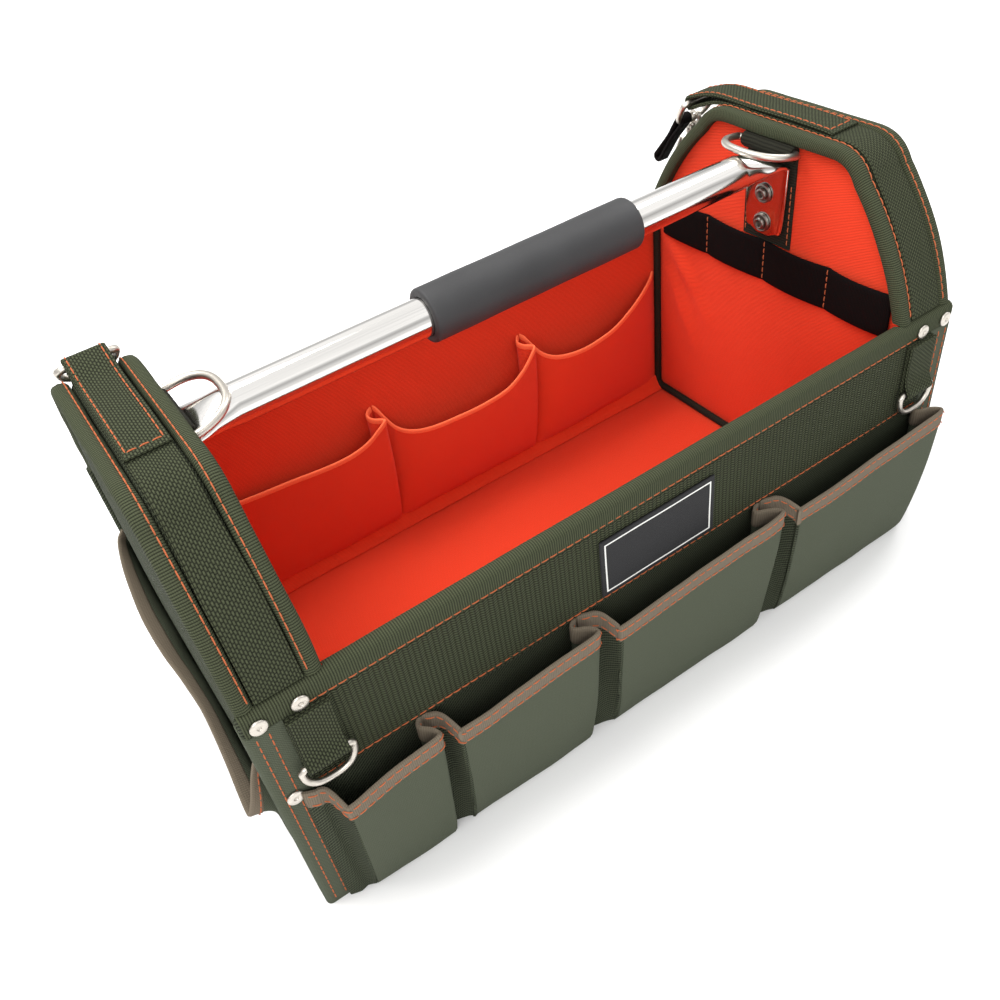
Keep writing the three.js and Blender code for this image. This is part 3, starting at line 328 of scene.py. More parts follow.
class Piece:
    """Points and faces in millimetres, collected for one mesh. Each face corner has a cloth place,
    which is where it lies on the flat cloth, so that weaves run true round folds. Sweep, loft,
    shell and lathe return the piece, so that its build can follow."""

    def __init__(self):
        self.points = []
        self.corners = []
        self.places = []
        self.finishes = []
        self.count = 0
        self.finish = 0

    def add_points(self, points):
        points = np.asarray(points, float)
        shape = points.shape[:-1]
        ids = np.arange(self.count, self.count + int(np.prod(shape))).reshape(shape)
        self.points.append(points.reshape(-1, 3))
        self.count += ids.size
        return ids

    def add_faces(self, corners, places):
        self.corners.append(corners)
        self.places.append(places)
        self.finishes.append(np.full(len(corners), self.finish))

    def add_quads(self, ids, places, wrap_rows=False, wrap_columns=False):
        if wrap_rows:
            ids = np.concatenate([ids, ids[:1]], axis=0)
        if wrap_columns:
            ids = np.concatenate([ids, ids[:, :1]], axis=1)
        around = [(slice(None, -1), slice(None, -1)), (slice(None, -1), slice(1, None)),
                  (slice(1, None), slice(1, None)), (slice(1, None), slice(None, -1))]
        self.add_faces(
            np.stack([ids[k] for k in around], -1).reshape(-1, 4),
            np.stack([places[k] for k in around], -2).reshape(-1, 4, 2))

    def add_polygon(self, ids, places):
        self.add_faces(np.array([ids]), np.array([places], float))

    def sweep(self, path, up, section, closed=False, scale=None):
        """A section along a path, with its upwards side held to up."""
        path = np.asarray(path, float)
        if closed:
            ahead = unit(np.roll(path, -1, 0) - np.roll(path, 1, 0))
        else:
            ahead = unit(np.gradient(path, axis=0))
        up = np.broadcast_to(np.asarray(up, float), path.shape)
        side = unit(np.cross(ahead, up))
        up = np.cross(side, ahead)
        shapes = np.broadcast_to(section, (len(path), *section.shape))
        if scale is not None:
            shapes = shapes * scale[:, None, :]
        rings = path[:, None] + side[:, None] * shapes[..., :1] + up[:, None] * shapes[..., 1:]
        ids = self.add_points(rings)
        along = run_lengths(np.concatenate([path, path[:1]]) if closed else path)
        around = run_lengths(np.concatenate([section, section[:1]])) + section[0, 0]
        places = lattice(along, around)
        self.add_quads(ids, places, wrap_rows=closed, wrap_columns=True)
        if not closed:
            for end in (0, -1):
                self.add_polygon(ids[end], section)
        return self

    def loft(self, rings, along, section):
        """Rings of points joined in order and closed at both ends, with the section's cloth places."""
        ids = self.add_points(rings)
        around = run_lengths(np.concatenate([section, section[:1]]))
        self.add_quads(ids, lattice(along, around), wrap_columns=True)
        for end in (0, -1):
            self.add_polygon(ids[end], section)
        return self

    def pair(self, outer, inner, soft=0.0):
        """A body between two grids of points, closed along its edges, which bulge by a soft share."""
        columns = outer.shape[1]
        middle = (outer + inner) / 2
        half = np.linalg.norm(outer - inner, axis=-1, keepdims=True) / 2
        left = middle[:, 0] + unit(middle[:, 0] - middle[:, 1]) * half[:, 0] * soft
        right = middle[:, -1] + unit(middle[:, -1] - middle[:, -2]) * half[:, -1] * soft
        rings = np.concatenate([outer, right[:, None], inner[:, ::-1], left[:, None]], axis=1)
        edge = half.mean()
        row_lengths = np.stack([run_lengths(row) for row in middle])
        row_lengths = row_lengths - row_lengths[:, -1:] / 2
        across = np.concatenate([
            row_lengths, row_lengths[:, -1:] + edge, row_lengths[:, ::-1], row_lengths[:, :1] - edge,
            row_lengths[:, :1]], axis=1)
        up = run_lengths(middle[:, columns // 2])
        if soft:
            first = self.tucked(rings[0], middle[0], middle[1], soft)
            last = self.tucked(rings[-1], middle[-1], middle[-2], soft)
            rings = np.concatenate([first[None], rings, last[None]])
            across = np.concatenate([across[:1], across, across[-1:]])
            up = np.concatenate([[-edge], up, [up[-1] + edge]])
        ids = self.add_points(rings)
        places = np.stack([across, np.broadcast_to(up[:, None], across.shape)], -1)
        self.add_quads(ids, places, wrap_columns=True)
        for end in (0, -1):
            outside = ids[end, :columns]
            inside = ids[end, columns + 1:2 * columns + 1][::-1]
            strip = np.stack([places[end, :columns], places[end, :columns] + [0.0, edge]])
            self.add_quads(np.stack([outside, inside]), strip)
            for place, tip in ((columns - 1, columns), (0, 2 * columns + 1)):
                flat = places[end, [place, place, place]] + [[0, 0], [edge, 0], [0, edge]]
                self.add_polygon([outside[place], ids[end, tip], inside[place]], flat)

    @staticmethod
    def tucked(ring, edge, within, soft):
        """The last ring of a soft edge: narrower, and a little further out."""
        columns = len(edge)
        spine = np.concatenate([edge, edge[-1:], edge[::-1], edge[:1]])
        out = unit(edge - within)
        out = np.concatenate([out, out[-1:], out[::-1], out[:1]])
        half = np.linalg.norm(ring[:1] - ring[2 * columns:2 * columns + 1], axis=-1, keepdims=True) / 2
        return spine + (ring - spine) * 0.55 + out * half * soft * 0.8

    def shell(self, middle, thick, soft=0.8):
        """Cloth of one thickness about a grid of points."""
        normals = grid_normals(middle)
        self.pair(middle + normals * thick / 2, middle - normals * thick / 2, soft)
        return self

    def lathe(self, profile, sides, place=None, sleeve=False):
        """A turned body from rows of radius and height about Z, then put in place by a matrix.
        A sleeve's profile closes on itself."""
        profile = np.asarray(profile, float)
        turn = np.linspace(0.0, 2 * np.pi, sides, endpoint=False)
        rings = space(profile[:, :1] * np.cos(turn), profile[:, :1] * np.sin(turn), profile[:, 1:])
        ids = self.add_points(moved(rings, place))
        along = run_lengths(np.concatenate([profile, profile[:1]]) if sleeve else profile)
        around = np.append(turn, 2 * np.pi) * profile[:, 0].max()
        places = lattice(along, around)
        self.add_quads(ids, places, wrap_rows=sleeve, wrap_columns=True)
        if not sleeve:
            for end in (0, -1):
                self.add_polygon(ids[end], rings[end, :, :2])
        return self

    def sew(self, line, up, pitch=None):
        """A row of stitches along a line. Each thread dips into the cloth at both its ends."""
        pitch = pitch or sizes().stitch_pitch
        radius = sizes().thread
        half = min(sizes().stitch_length, pitch - 0.5) / 2
        line = np.asarray(line, float)
        lengths = run_lengths(line)
        count = max(int(lengths[-1] / pitch), 1)
        starts = (np.arange(count) + 0.5) * lengths[-1] / count
        up = np.broadcast_to(np.asarray(up, float), line.shape)

        def at(places, values):
            return np.stack([np.interp(places, lengths, values[:, k]) for k in range(3)], -1)

        middle = at(starts, line)
        ahead = unit(at(starts + half, line) - at(starts - half, line))
        side = unit(np.cross(ahead, at(starts, up)))
        rise = np.cross(side, ahead)
        steps = np.array([-1.0, -0.75, -0.3, 0.3, 0.75, 1.0])
        lift = radius * (0.55 - 1.35 * steps ** 4)
        thick = radius * (1.0 - 0.3 * steps ** 4)
        turn = np.linspace(0.0, 2 * np.pi, 6, endpoint=False)
        spine = (middle[:, None] + ahead[:, None] * (steps * half)[None, :, None]
                 + rise[:, None] * lift[None, :, None])
        rings = (spine[:, :, None]
                 + side[:, None, None] * (thick[:, None] * np.cos(turn))[None, ..., None]
                 + rise[:, None, None] * (thick[:, None] * np.sin(turn))[None, ..., None])
        ids = self.add_points(rings)
        along = (steps + 1) * half
        around = np.arange(7) * radius
        places = lattice(along, around)
        for stitch in ids:
            self.add_quads(stitch, places, wrap_columns=True)
            for end in (0, -1):
                self.add_polygon(stitch[end], places[0, :6])

    def build(self, name, material, slot, body="tote", replaces=(), crease=42):
        """Makes the mesh, gives it its material and cloth places, hangs it on its body and hides the frame
        pieces that it replaces.
        """
        mesh = bpy.data.meshes.new(name)
        points = (np.concatenate(self.points) + MIDDLE) * MM
        mesh.vertices.add(len(points))
        mesh.vertices.foreach_set("co", points.ravel())
        totals = np.concatenate([np.full(len(c), c.shape[1]) for c in self.corners])
        loops = np.concatenate([c.ravel() for c in self.corners])
        mesh.loops.add(len(loops))
        mesh.loops.foreach_set("vertex_index", loops)
        mesh.polygons.add(len(totals))
        mesh.polygons.foreach_set("loop_start", np.concatenate([[0], np.cumsum(totals)[:-1]]))
        mesh.polygons.foreach_set("loop_total", totals)
        mesh.polygons.foreach_set("material_index", np.concatenate(self.finishes))
        layer = mesh.uv_layers.new(name="cloth")
        layer.data.foreach_set("uv", np.concatenate([p.ravel() for p in self.places]) * MM)
        mesh.update(calc_edges=True)
        mesh.validate()
        solid = bmesh.new()
        solid.from_mesh(mesh)
        bmesh.ops.recalc_face_normals(solid, faces=solid.faces)
        solid.to_mesh(mesh)
        solid.free()
        for finish in (material if isinstance(material, (list, tuple)) else [material]):
            mesh.materials.append(finish)
        mesh.shade_smooth()
        mesh.set_sharp_from_angle(angle=math.radians(crease))
        piece = bpy.data.objects.new(name, mesh)
        bpy.context.scene.collection.objects.link(piece)
        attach(piece, body)
        if replaces:
            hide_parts(*replaces)
        return piece


def grid_normals(grid):
    across = np.gradient(grid, axis=1)
    up = np.gradient(grid, axis=0)
    return unit(np.cross(across, up))


def moved(points, place):
    """Points carried by a 4 by 4 matrix in millimetres."""
    if place is None:
        return points
    matrix = np.array(place)
    return points @ matrix[:3, :3].T + matrix[:3, 3]


def across_x(line, x):
    """A flat line of Y and Z set at one X, and the upwards direction of a strap that follows it."""
    path = np.column_stack([np.full(len(line), x), line])
    up = np.cross(np.array([1.0, 0.0, 0.0]), unit(np.gradient(path, axis=0)))
    return path, up


# Materials


def feed(tree, socket, value):
    if isinstance(value, bpy.types.NodeSocket):
        tree.links.new(value, socket)
    else:
        socket.default_value = value


def calc(tree, operation, *values):
    node = tree.nodes.new("ShaderNodeMath")
    node.operation = operation
    for socket, value in zip(node.inputs, values):
        feed(tree, socket, value)
    return node.outputs[0]


def blend_colours(tree, share, first, second, mode="MIX"):
    node = tree.nodes.new("ShaderNodeMix")
    node.data_type = "RGBA"
    node.blend_type = mode
    feed(tree, node.inputs["Factor"], share)
    feed(tree, node.inputs["A"], first)
    feed(tree, node.inputs["B"], second)
    return node.outputs["Result"]


def noise_at(tree, vector, scale, detail=2.0):
    node = tree.nodes.new("ShaderNodeTexNoise")
    feed(tree, node.inputs["Vector"], vector)
    node.inputs["Scale"].default_value = scale
    node.inputs["Detail"].default_value = detail
    return node.outputs["Fac"]


def new_group(name, inputs, outputs):
    """A shader node group with named sockets. Returns its tree, its input node and its output node."""
    tree = bpy.data.node_groups.new(name, "ShaderNodeTree")
    for direction, sockets in (("INPUT", inputs), ("OUTPUT", outputs)):
        for socket_name, kind in sockets:
            tree.interface.new_socket(name=socket_name, in_out=direction, socket_type=kind)
    return tree, tree.nodes.new("NodeGroupInput"), tree.nodes.new("NodeGroupOutput")


def wave(tree, value):
    """From 0 to 1 and back to 0 for each whole step of a value."""
    return calc(tree, "ABSOLUTE", calc(tree, "SINE", calc(tree, "MULTIPLY", value, math.pi)))


NUMBER = "NodeSocketFloat"
VECTOR = "NodeSocketVector"
COLOUR = "NodeSocketColor"


def pattern_group(name, across, along, *others):
    """A pattern's node group. Returns its tree, its input node, its output socket, and the cloth's
    places counted in steps of the first two sizes."""
    given_sizes = [(size, NUMBER) for size in (across, along, *others)]
    tree, given, made = new_group(name, [("Cloth", VECTOR), *given_sizes], [("Height", NUMBER)])
    split = tree.nodes.new("ShaderNodeSeparateXYZ")
    tree.links.new(given.outputs["Cloth"], split.inputs[0])
    u = calc(tree, "DIVIDE", split.outputs["X"], given.outputs[across])
    v = calc(tree, "DIVIDE", split.outputs["Y"], given.outputs[along])
    return tree, given, made.inputs["Height"], u, v


def weave_group():
    """Plain weave: threads that pass over and under each other in turn."""
    tree, _, height, u, v = pattern_group("Plain weave", "Across", "Along")

    def thread(across, along, shift):
        phase = calc(tree, "ADD", calc(tree, "ADD", along, calc(tree, "FLOOR", across)), shift)
        over = calc(tree, "COSINE", calc(tree, "MULTIPLY", phase, math.pi))
        return calc(tree, "MULTIPLY", wave(tree, across), calc(tree, "MULTIPLY_ADD", over, 0.5, 0.5))

    tree.links.new(calc(tree, "MAXIMUM", thread(u, v, 0.0), thread(v, u, 1.0)), height)
    return tree


def rib_group():
    """Ribs across a tape, with a faint split along each rib."""
    tree, _, height, u, v = pattern_group("Ribs", "Pitch", "Thread")
    fine = calc(tree, "MULTIPLY_ADD", wave(tree, v), 0.3, 0.7)
    tree.links.new(calc(tree, "MULTIPLY", calc(tree, "POWER", wave(tree, u), 0.7), fine), height)
    return tree


def zigzag_group():
    """Wide webbing: columns whose threads slant up and down in turn, with a groove between columns."""
    tree, given, height, u, v = pattern_group("Zigzag webbing", "Column", "Row", "Slant")
    swing = calc(tree, "MULTIPLY", calc(tree, "PINGPONG", u, 1.0), given.outputs["Slant"])
    groove = calc(tree, "MULTIPLY_ADD", calc(tree, "POWER", wave(tree, u), 0.5), 0.75, 0.25)
    thread = calc(tree, "POWER", wave(tree, calc(tree, "ADD", v, swing)), 0.8)
    tree.links.new(calc(tree, "MULTIPLY", thread, groove), height)
    return tree


def pebble_group():
    """Coarse webbing: rows of round bumps, each row shifted by half a bump."""
    tree, _, height, u, row = pattern_group("Pebbles", "Across", "Along")
    shifted = calc(tree, "ADD", u, calc(tree, "MULTIPLY", calc(tree, "FLOOR", row), 0.5))
    bump = calc(tree, "MULTIPLY", wave(tree, shifted), wave(tree, row))
    tree.links.new(calc(tree, "POWER", bump, 0.6), height)
    return tree


def twill_group():
    """Fine slanting lines, each broken into short threads."""
    tree, _, height, u, v = pattern_group("Twill", "Across", "Along")
    line = wave(tree, calc(tree, "MULTIPLY_ADD", u, 0.4, v))
    short = calc(tree, "MULTIPLY_ADD", wave(tree, calc(tree, "SUBTRACT", u, v)), 0.35, 0.65)
    tree.links.new(calc(tree, "MULTIPLY", line, short), height)
    return tree


def wear_and_weave_shade_group():
    """Cloth that isn't quite even: painted shade that darkens the pattern's low places towards black, as
    shade between the threads, then soft patches, a dusty lightening and fine specks of thread.
    """
    tree, given, made = new_group(
        "Cloth wear and painted weave shade", [("Color", COLOUR), ("Height", NUMBER), ("Dust", NUMBER), ("Depth", NUMBER)],
        [("Color", COLOUR), ("Roughness", NUMBER)])
    place = object_places(tree)
    patches = noise_at(tree, place, 22.0, 3.0)
    specks = noise_at(tree, place, 900.0, 2.0)
    black = (0.0, 0.0, 0.0, 1.0)
    # Painted shade: the lower the pattern's height, the darker the colour, by up to Depth, as shade between
    # the threads
    shade = calc(tree, "SUBTRACT", 1.0, calc(tree, "MULTIPLY", given.outputs["Depth"],
                 calc(tree, "SUBTRACT", 1.0, given.outputs["Height"])))
    colour = blend_colours(tree, calc(tree, "SUBTRACT", 1.0, shade), given.outputs["Color"], black)
    pale = blend_colours(tree, 0.5, colour, (0.6, 0.58, 0.5, 1.0))
    share = calc(tree, "MULTIPLY", given.outputs["Dust"],
                 calc(tree, "MULTIPLY", calc(tree, "ADD", patches, specks), 0.5))
    tree.links.new(blend_colours(tree, share, colour, pale), made.inputs["Color"])
    tree.links.new(calc(tree, "MULTIPLY_ADD", patches, 0.14, 0.8), made.inputs["Roughness"])
    return tree


GROUPS = {}


def group_named(name):
    makers = {"weave": weave_group, "ribs": rib_group, "zigzag": zigzag_group, "pebbles": pebble_group,
              "twill": twill_group, "wear_and_shade": wear_and_weave_shade_group}
    if name not in GROUPS:
        GROUPS[name] = makers[name]()
    return GROUPS[name]


def put_group(tree, name, **values):
    node = tree.nodes.new("ShaderNodeGroup")
    node.node_tree = group_named(name)
    for socket, value in values.items():
        feed(tree, node.inputs[socket], value)
    return node


def new_material(name):
    material = bpy.data.materials.get(name)
    if material:
        return material, None, None
    material = bpy.data.materials.new(name)
    material.use_nodes = True
    return material, material.node_tree, material.node_tree.nodes["Principled BSDF"]


def object_places(tree):
    return tree.nodes.new("ShaderNodeTexCoord").outputs["Object"]


def cloth_places(tree):
    """Places on the flat cloth, in metres."""
    node = tree.nodes.new("ShaderNodeUVMap")
    node.uv_map = "cloth"
    return node.outputs["UV"]


def raise_surface(tree, shader, height, distance, strength=1.0):
    """Bumps on a material's surface, up to a distance in millimetres."""
    raised = tree.nodes.new("ShaderNodeBump")
    raised.inputs["Distance"].default_value = distance * MM
    raised.inputs["Strength"].default_value = strength
    tree.links.new(height, raised.inputs["Height"])
    tree.links.new(raised.outputs["Normal"], shader.inputs["Normal"])


def rgba(colour):
    return (*colour, 1.0)


def cloth_material(name, colour, pattern, bump, depth=0.75, dust=0.02, sheen=0.0, **pattern_sizes):
    """Woven material: a pattern's heights shade the colour and raise the surface."""
    material, tree, shader = new_material(name)
    if tree is None:
        return material
    cloth = cloth_places(tree)
    wobble = tree.nodes.new("ShaderNodeVectorMath")
    wobble.operation = "MULTIPLY_ADD"
    soft = tree.nodes.new("ShaderNodeTexNoise")
    soft.inputs["Scale"].default_value = 160.0
    tree.links.new(cloth, soft.inputs["Vector"])
    tree.links.new(soft.outputs["Color"], wobble.inputs[0])
    wobble.inputs[1].default_value = (0.0005, 0.0005, 0.0)
    tree.links.new(cloth, wobble.inputs[2])
    metres = {key: value * MM if key != "Slant" else value for key, value in pattern_sizes.items()}
    height = put_group(tree, pattern, Cloth=wobble.outputs[0], **metres).outputs["Height"]
    # Painted shade and dust: the pattern's low places are darkened by the depth, as shade between the
    # threads, and dusty patches are lightened
    worn_and_shaded = put_group(tree, "wear_and_shade", Color=rgba(colour), Height=height, Dust=dust, Depth=depth)
    tree.links.new(worn_and_shaded.outputs["Color"], shader.inputs["Base Color"])
    tree.links.new(worn_and_shaded.outputs["Roughness"], shader.inputs["Roughness"])
    raise_surface(tree, shader, height, bump)
    shader.inputs["Sheen Weight"].default_value = sheen
    shader.inputs["Sheen Roughness"].default_value = 0.5
    shader.inputs["Specular IOR Level"].default_value = 0.12
    return material


def olive_cloth():
    return cloth_material("Olive nylon", colours().olive, "weave", 0.4, depth=0.9, Across=1.2, Along=1.05)


def pocket_cloth():
    return cloth_material("Pocket nylon", colours().pocket, "weave", 0.12, depth=0.4, Across=0.8, Along=0.65)


def pebble_webbing():
    return cloth_material(
        "Pebble webbing", colours().webbing, "pebbles", 0.7, depth=0.95, Across=2.3, Along=1.25)


def rib_tape():
    return cloth_material("Ribbed tape", colours().webbing, "ribs", 0.4, depth=0.95, Pitch=1.2, Thread=0.9)


def zigzag_band():
    return cloth_material(
        "Zigzag webbing", colours().webbing, "zigzag", 0.9, depth=1.0, Column=2.4, Row=1.5, Slant=0.6)


def dark_webbing():
    return cloth_material("Dark webbing", colours().dark, "ribs", 0.3, Pitch=1.6, Thread=1.3)


def lining_cloth():
    return cloth_material(
        "Lining", colours().red, "twill", 0.2, depth=0.42, dust=0.0, sheen=0.05, Across=1.3, Along=0.9)


def lining_hem():
    return cloth_material(
        "Lining hem", colours().lining_hem, "ribs", 0.08, depth=0.15, dust=0.0, Pitch=0.9, Thread=0.8)


def pocket_hem():
    return cloth_material("Pocket hem", colours().hem, "ribs", 0.15, depth=0.35, Pitch=1.0, Thread=0.9)


def thread_material():
    return cloth_material(
        "Thread", colours().thread, "ribs", 0.1, depth=0.35, dust=0.05, Pitch=0.5, Thread=0.6)


def black_elastic():
    return cloth_material(
        "Black elastic", colours().black, "ribs", 0.15, depth=0.5, dust=0.0, Pitch=0.9, Thread=0.7)


def metal_material(name, colour, roughness, streak):
    """Bright metal with fine lines along it and a little unevenness."""
    material, tree, shader = new_material(name)
    if tree is None:
        return material
    place = object_places(tree)
    stretched = tree.nodes.new("ShaderNodeMapping")
    stretched.inputs["Scale"].default_value = (6.0, 420.0, 420.0)
    tree.links.new(place, stretched.inputs["Vector"])
    lines = noise_at(tree, stretched.outputs["Vector"], 3.0, 3.0)
    spots = noise_at(tree, place, 70.0, 4.0)
    tree.links.new(calc(tree, "MULTIPLY_ADD", lines, streak, roughness), shader.inputs["Roughness"])
    darker = tuple(channel * 0.8 for channel in colour)
    tree.links.new(blend_colours(tree, lines, rgba(colour), rgba(darker)), shader.inputs["Base Color"])
    shader.inputs["Metallic"].default_value = 1.0
    raise_surface(tree, shader, spots, 0.02, 0.4)
    return material


def steel():
    return metal_material("Polished steel", colours().steel, 0.07, 0.1)


def nickel():
    return metal_material("Nickel", colours().nickel, 0.3, 0.12)


def dull_steel():
    return metal_material("Dull steel", tuple(channel * 0.45 for channel in colours().nickel), 0.3, 0.15)


def foam():
    """Closed foam with fine pores."""
    material, tree, shader = new_material("Foam grip")
    if tree is None:
        return material
    place = object_places(tree)
    pores = noise_at(tree, place, 2600.0, 2.0)
    patches = noise_at(tree, place, 30.0, 3.0)
    pale = tuple(channel * 1.7 + 0.01 for channel in colours().foam)
    colour = blend_colours(tree, patches, rgba(colours().foam), rgba(pale))
    tree.links.new(colour, shader.inputs["Base Color"])
    tree.links.new(calc(tree, "MULTIPLY_ADD", pores, 0.25, 0.5), shader.inputs["Roughness"])
    raise_surface(tree, shader, pores, 0.12, 0.6)
    return material


# Base, walls and linings


def flat_grid(x, z, y, rows, columns):
    """A grid standing in the X and Z plane, between two ends of each."""
    return space(np.linspace(*x, columns), y, np.linspace(*z, rows)[:, None])


def build_base():
    piece = Piece()
    half_x = face("base_panel", 1, 0)
    half_y = face("base_panel", 1, 1)
    xs, ys = np.meshgrid(np.linspace(-half_x, half_x, 60), np.linspace(-half_y, half_y, 36))
    edge = np.minimum(half_x - np.abs(xs), half_y - np.abs(ys))
    rounding = 2.5 * np.clip(1 - edge / 6.0, 0.0, 1.0) ** 2
    low = space(xs, ys, rounding)
    high = space(xs, ys, BOARD_TOP - 0.2)
    piece.pair(high, low)
    piece.build("base_board", olive_cloth(), "olive", replaces=["base_panel"])

    middle = space(xs, ys, (BOARD_TOP + FLOOR_TOP) / 2)
    middle[..., 2] += ripple(middle, 55.0, 0.5, 3)
    floor = Piece().shell(middle, FLOOR_TOP - BOARD_TOP - GAP)
    floor.build("floor_cloth", lining_cloth(), "red", replaces=["floor_lining"])


def build_walls():
    for name, side in WALLS:
        piece = Piece()
        middle = flat_grid((-HALF_LENGTH, HALF_LENGTH), (0.0, WALL_HEIGHT),
                           side * (WALL_FACE + WALL_INSIDE) / 2, 40, 110)
        middle[..., 1] += side * ripple(middle, 60.0, 0.35, 5 + side)
        piece.shell(middle, WALL_FACE - WALL_INSIDE)
        piece.build(f"{name}_wall_cloth", olive_cloth(), "olive", replaces=[f"{name}_wall"])

        piece = Piece()
        reach = face("back_lining", 1, 0)
        middle = flat_grid((-reach, reach), (FLOOR_TOP + GAP, WALL_HEIGHT),
                           side * (LINING_FACE + LINING_BACK) / 2, 40, 100)
        middle[..., 1] -= side * np.abs(ripple(middle, 45.0, 0.9, 9 + side))
        piece.shell(middle, LINING_BACK - LINING_FACE)
        if side > 0:
            piece.shell(lining_cove(reach - 6.0), LINING_BACK - LINING_FACE)
        piece.build(f"{name}_lining_cloth", lining_cloth(), "red", replaces=[f"{name}_lining"])


def lining_cove(reach):
    """The strip of lining that rounds the corner between the back wall's pockets and the floor."""
    share = np.linspace(0.0, 1.0, 8)
    xs = np.linspace(-reach, reach, 90)
    ys = LINING_FACE - 1.6 - 6.5 * share ** 1.5
    zs = FLOOR_TOP + 0.9 + POCKET_LIFT * (1.0 - share) ** 1.3
    cove = space(xs, ys[:, None], zs[:, None])
    cove[..., 1] -= np.abs(ripple(cove, 30.0, 0.9, 15))
    return cove[::-1]


def tape_sections():
    """Sections of the tape over a wall's edge, as Y outwards and Z: the whole tape, which hangs down
    on both sides of the wall, and its outer part, for beside the end panels."""
    middle = (BINDING_FACE + BINDING_INNER) / 2
    half = (BINDING_FACE - BINDING_INNER) / 2
    crown = 3.2
    turn = np.radians(np.linspace(0, 180, 13))
    top = np.stack([middle + half * np.cos(turn), BINDING_TOP - crown + crown * np.sin(turn)], -1)
    under = np.stack([middle + (half - BINDING_CLOTH) * np.cos(turn),
                      BINDING_TOP - crown + (crown - BINDING_CLOTH) * np.sin(turn)], -1)[::-1]
    outside = [[BINDING_FACE - BINDING_CLOTH, BINDING_LOW], [BINDING_FACE - 0.4, BINDING_LOW],
               [BINDING_FACE - 0.2, BINDING_LOW + 0.4], [BINDING_FACE, BINDING_LOW + 1.2]]
    inside = [[BINDING_INNER, BINDING_LOW + 1.0], [BINDING_INNER + 0.3, BINDING_LOW],
              [BINDING_INNER + BINDING_CLOTH, BINDING_LOW]]
    on_wall = [[WALL_INSIDE, WALL_HEIGHT + GAP], [BINDING_FACE - BINDING_CLOTH, WALL_HEIGHT + GAP]]
    whole = np.concatenate([outside, top, inside, under])
    return whole, np.concatenate([outside, top[top[:, 0] > WALL_INSIDE], on_wall])


def build_bindings():
    reach = END_FACE - GAP
    whole, outer = tape_sections()
    for name, side in WALLS:
        piece = Piece()
        for section, start, end in ((whole, -reach, reach), (outer, reach, HALF_LENGTH),
                                    (outer, -HALF_LENGTH, -reach)):
            xs = np.linspace(start, end, max(int(abs(end - start) / 4), 4))
            points = space(xs[:, None], side * section[:, 0], section[:, 1])
            points[..., 1] += ripple(points, 30.0, 0.3, 13)
            piece.loft(points, xs, section)
        piece.build(f"{name}_edge_tape", rib_tape(), "webbing", replaces=[f"{name}_binding"])


# End panels


def pad_rows(inset, half_below, low):
    """Front edge, back edge and height of an end panel, in rows from its foot to its top."""
    line = outline_above(inset, RIM_FOOT, 401)
    top = line[:, 1].max() - 0.05
    front = resampled(line[:np.argmax(line[:, 1] > top) + 1], 72)
    back = line[::-1]
    back = back[:np.argmax(back[:, 1] > top) + 1]
    above = np.stack([front[:, 0], np.interp(front[:, 1], back[:, 1], back[:, 0]), front[:, 1]], -1)
    heights = np.linspace(low, RIM_FOOT - GAP, 26)
    half = np.full(len(heights), half_below)
    return np.concatenate([np.stack([-half, half, heights], -1), above])


def pad_face(rows, x, crown, side, columns=46):
    """A panel's face with a soft crown, from its rows."""
    share = np.linspace(-1.0, 1.0, columns)
    ys = rows[:, :1] + (rows[:, 1:2] - rows[:, :1]) * (share + 1) / 2
    height = (rows[:, 2] - rows[0, 2]) / (rows[-1, 2] - rows[0, 2])
    swell = crown * (1 - np.abs(share) ** 3)[None] * np.sin(np.pi * np.clip(height, 0, 1))[:, None] ** 0.5
    return space(side * (x + swell), ys, rows[:, 2:])


# Folds of the end linings, each from a place on the panel to another, as Y and Z
LINING_FOLDS = [((86.0, 140.0), (42.0, 84.0)), ((88.0, 118.0), (56.0, 60.0)), ((84.0, 132.0), (60.0, 110.0)),
                ((-80.0, 30.0), (-20.0, 62.0))]


def build_end(name, side):
    crown = sizes().end_crown
    rows = pad_rows(RIM_DEPTH + GAP, LINING_BACK, 0.0)
    piece = Piece()
    outer = pad_face(rows, PAD_OUTSIDE, crown, side)
    outer[..., 0] += ripple(outer, 50.0, 0.7, 17 + side)
    inner = pad_face(rows, PAD_INSIDE, 0.0, side)
    piece.pair(outer, inner)
    under_strap = STRAP_CLOTH + 2 * GAP
    ridge = RIM_DEPTH + GAP + 0.4 - under_strap
    path, up = across_x(outline_above(under_strap + ridge / 2, WALL_HEIGHT, 60), side * STRAP_MIDDLE)
    piece.sweep(path, up, flat_section(STRAP_WIDTH, ridge, edge=1.0))
    pad = piece.build(f"{name}_end_pad", olive_cloth(), "olive", replaces=[f"{name}_end_panel"])

    piece = Piece()
    rows = pad_rows(RIM_DEPTH + GAP, LINING_FACE - GAP, FLOOR_TOP + GAP)
    inside = pad_face(rows, END_LINING_FACE, -crown * 0.6, side)
    creased = np.abs(ripple(inside, 45.0, 0.8, 21 + side))
    for start, end in LINING_FOLDS:
        creased += fold(inside[..., 1:], start, end, 4.0, 1.5)
    inside[..., 0] -= side * creased
    behind = pad_face(rows, END_LINING_BACK, -crown * 0.6, side)
    piece.pair(inside, behind)
    piece.build(f"{name}_end_lining_cloth", lining_cloth(), "red", replaces=[f"{name}_end_lining"])


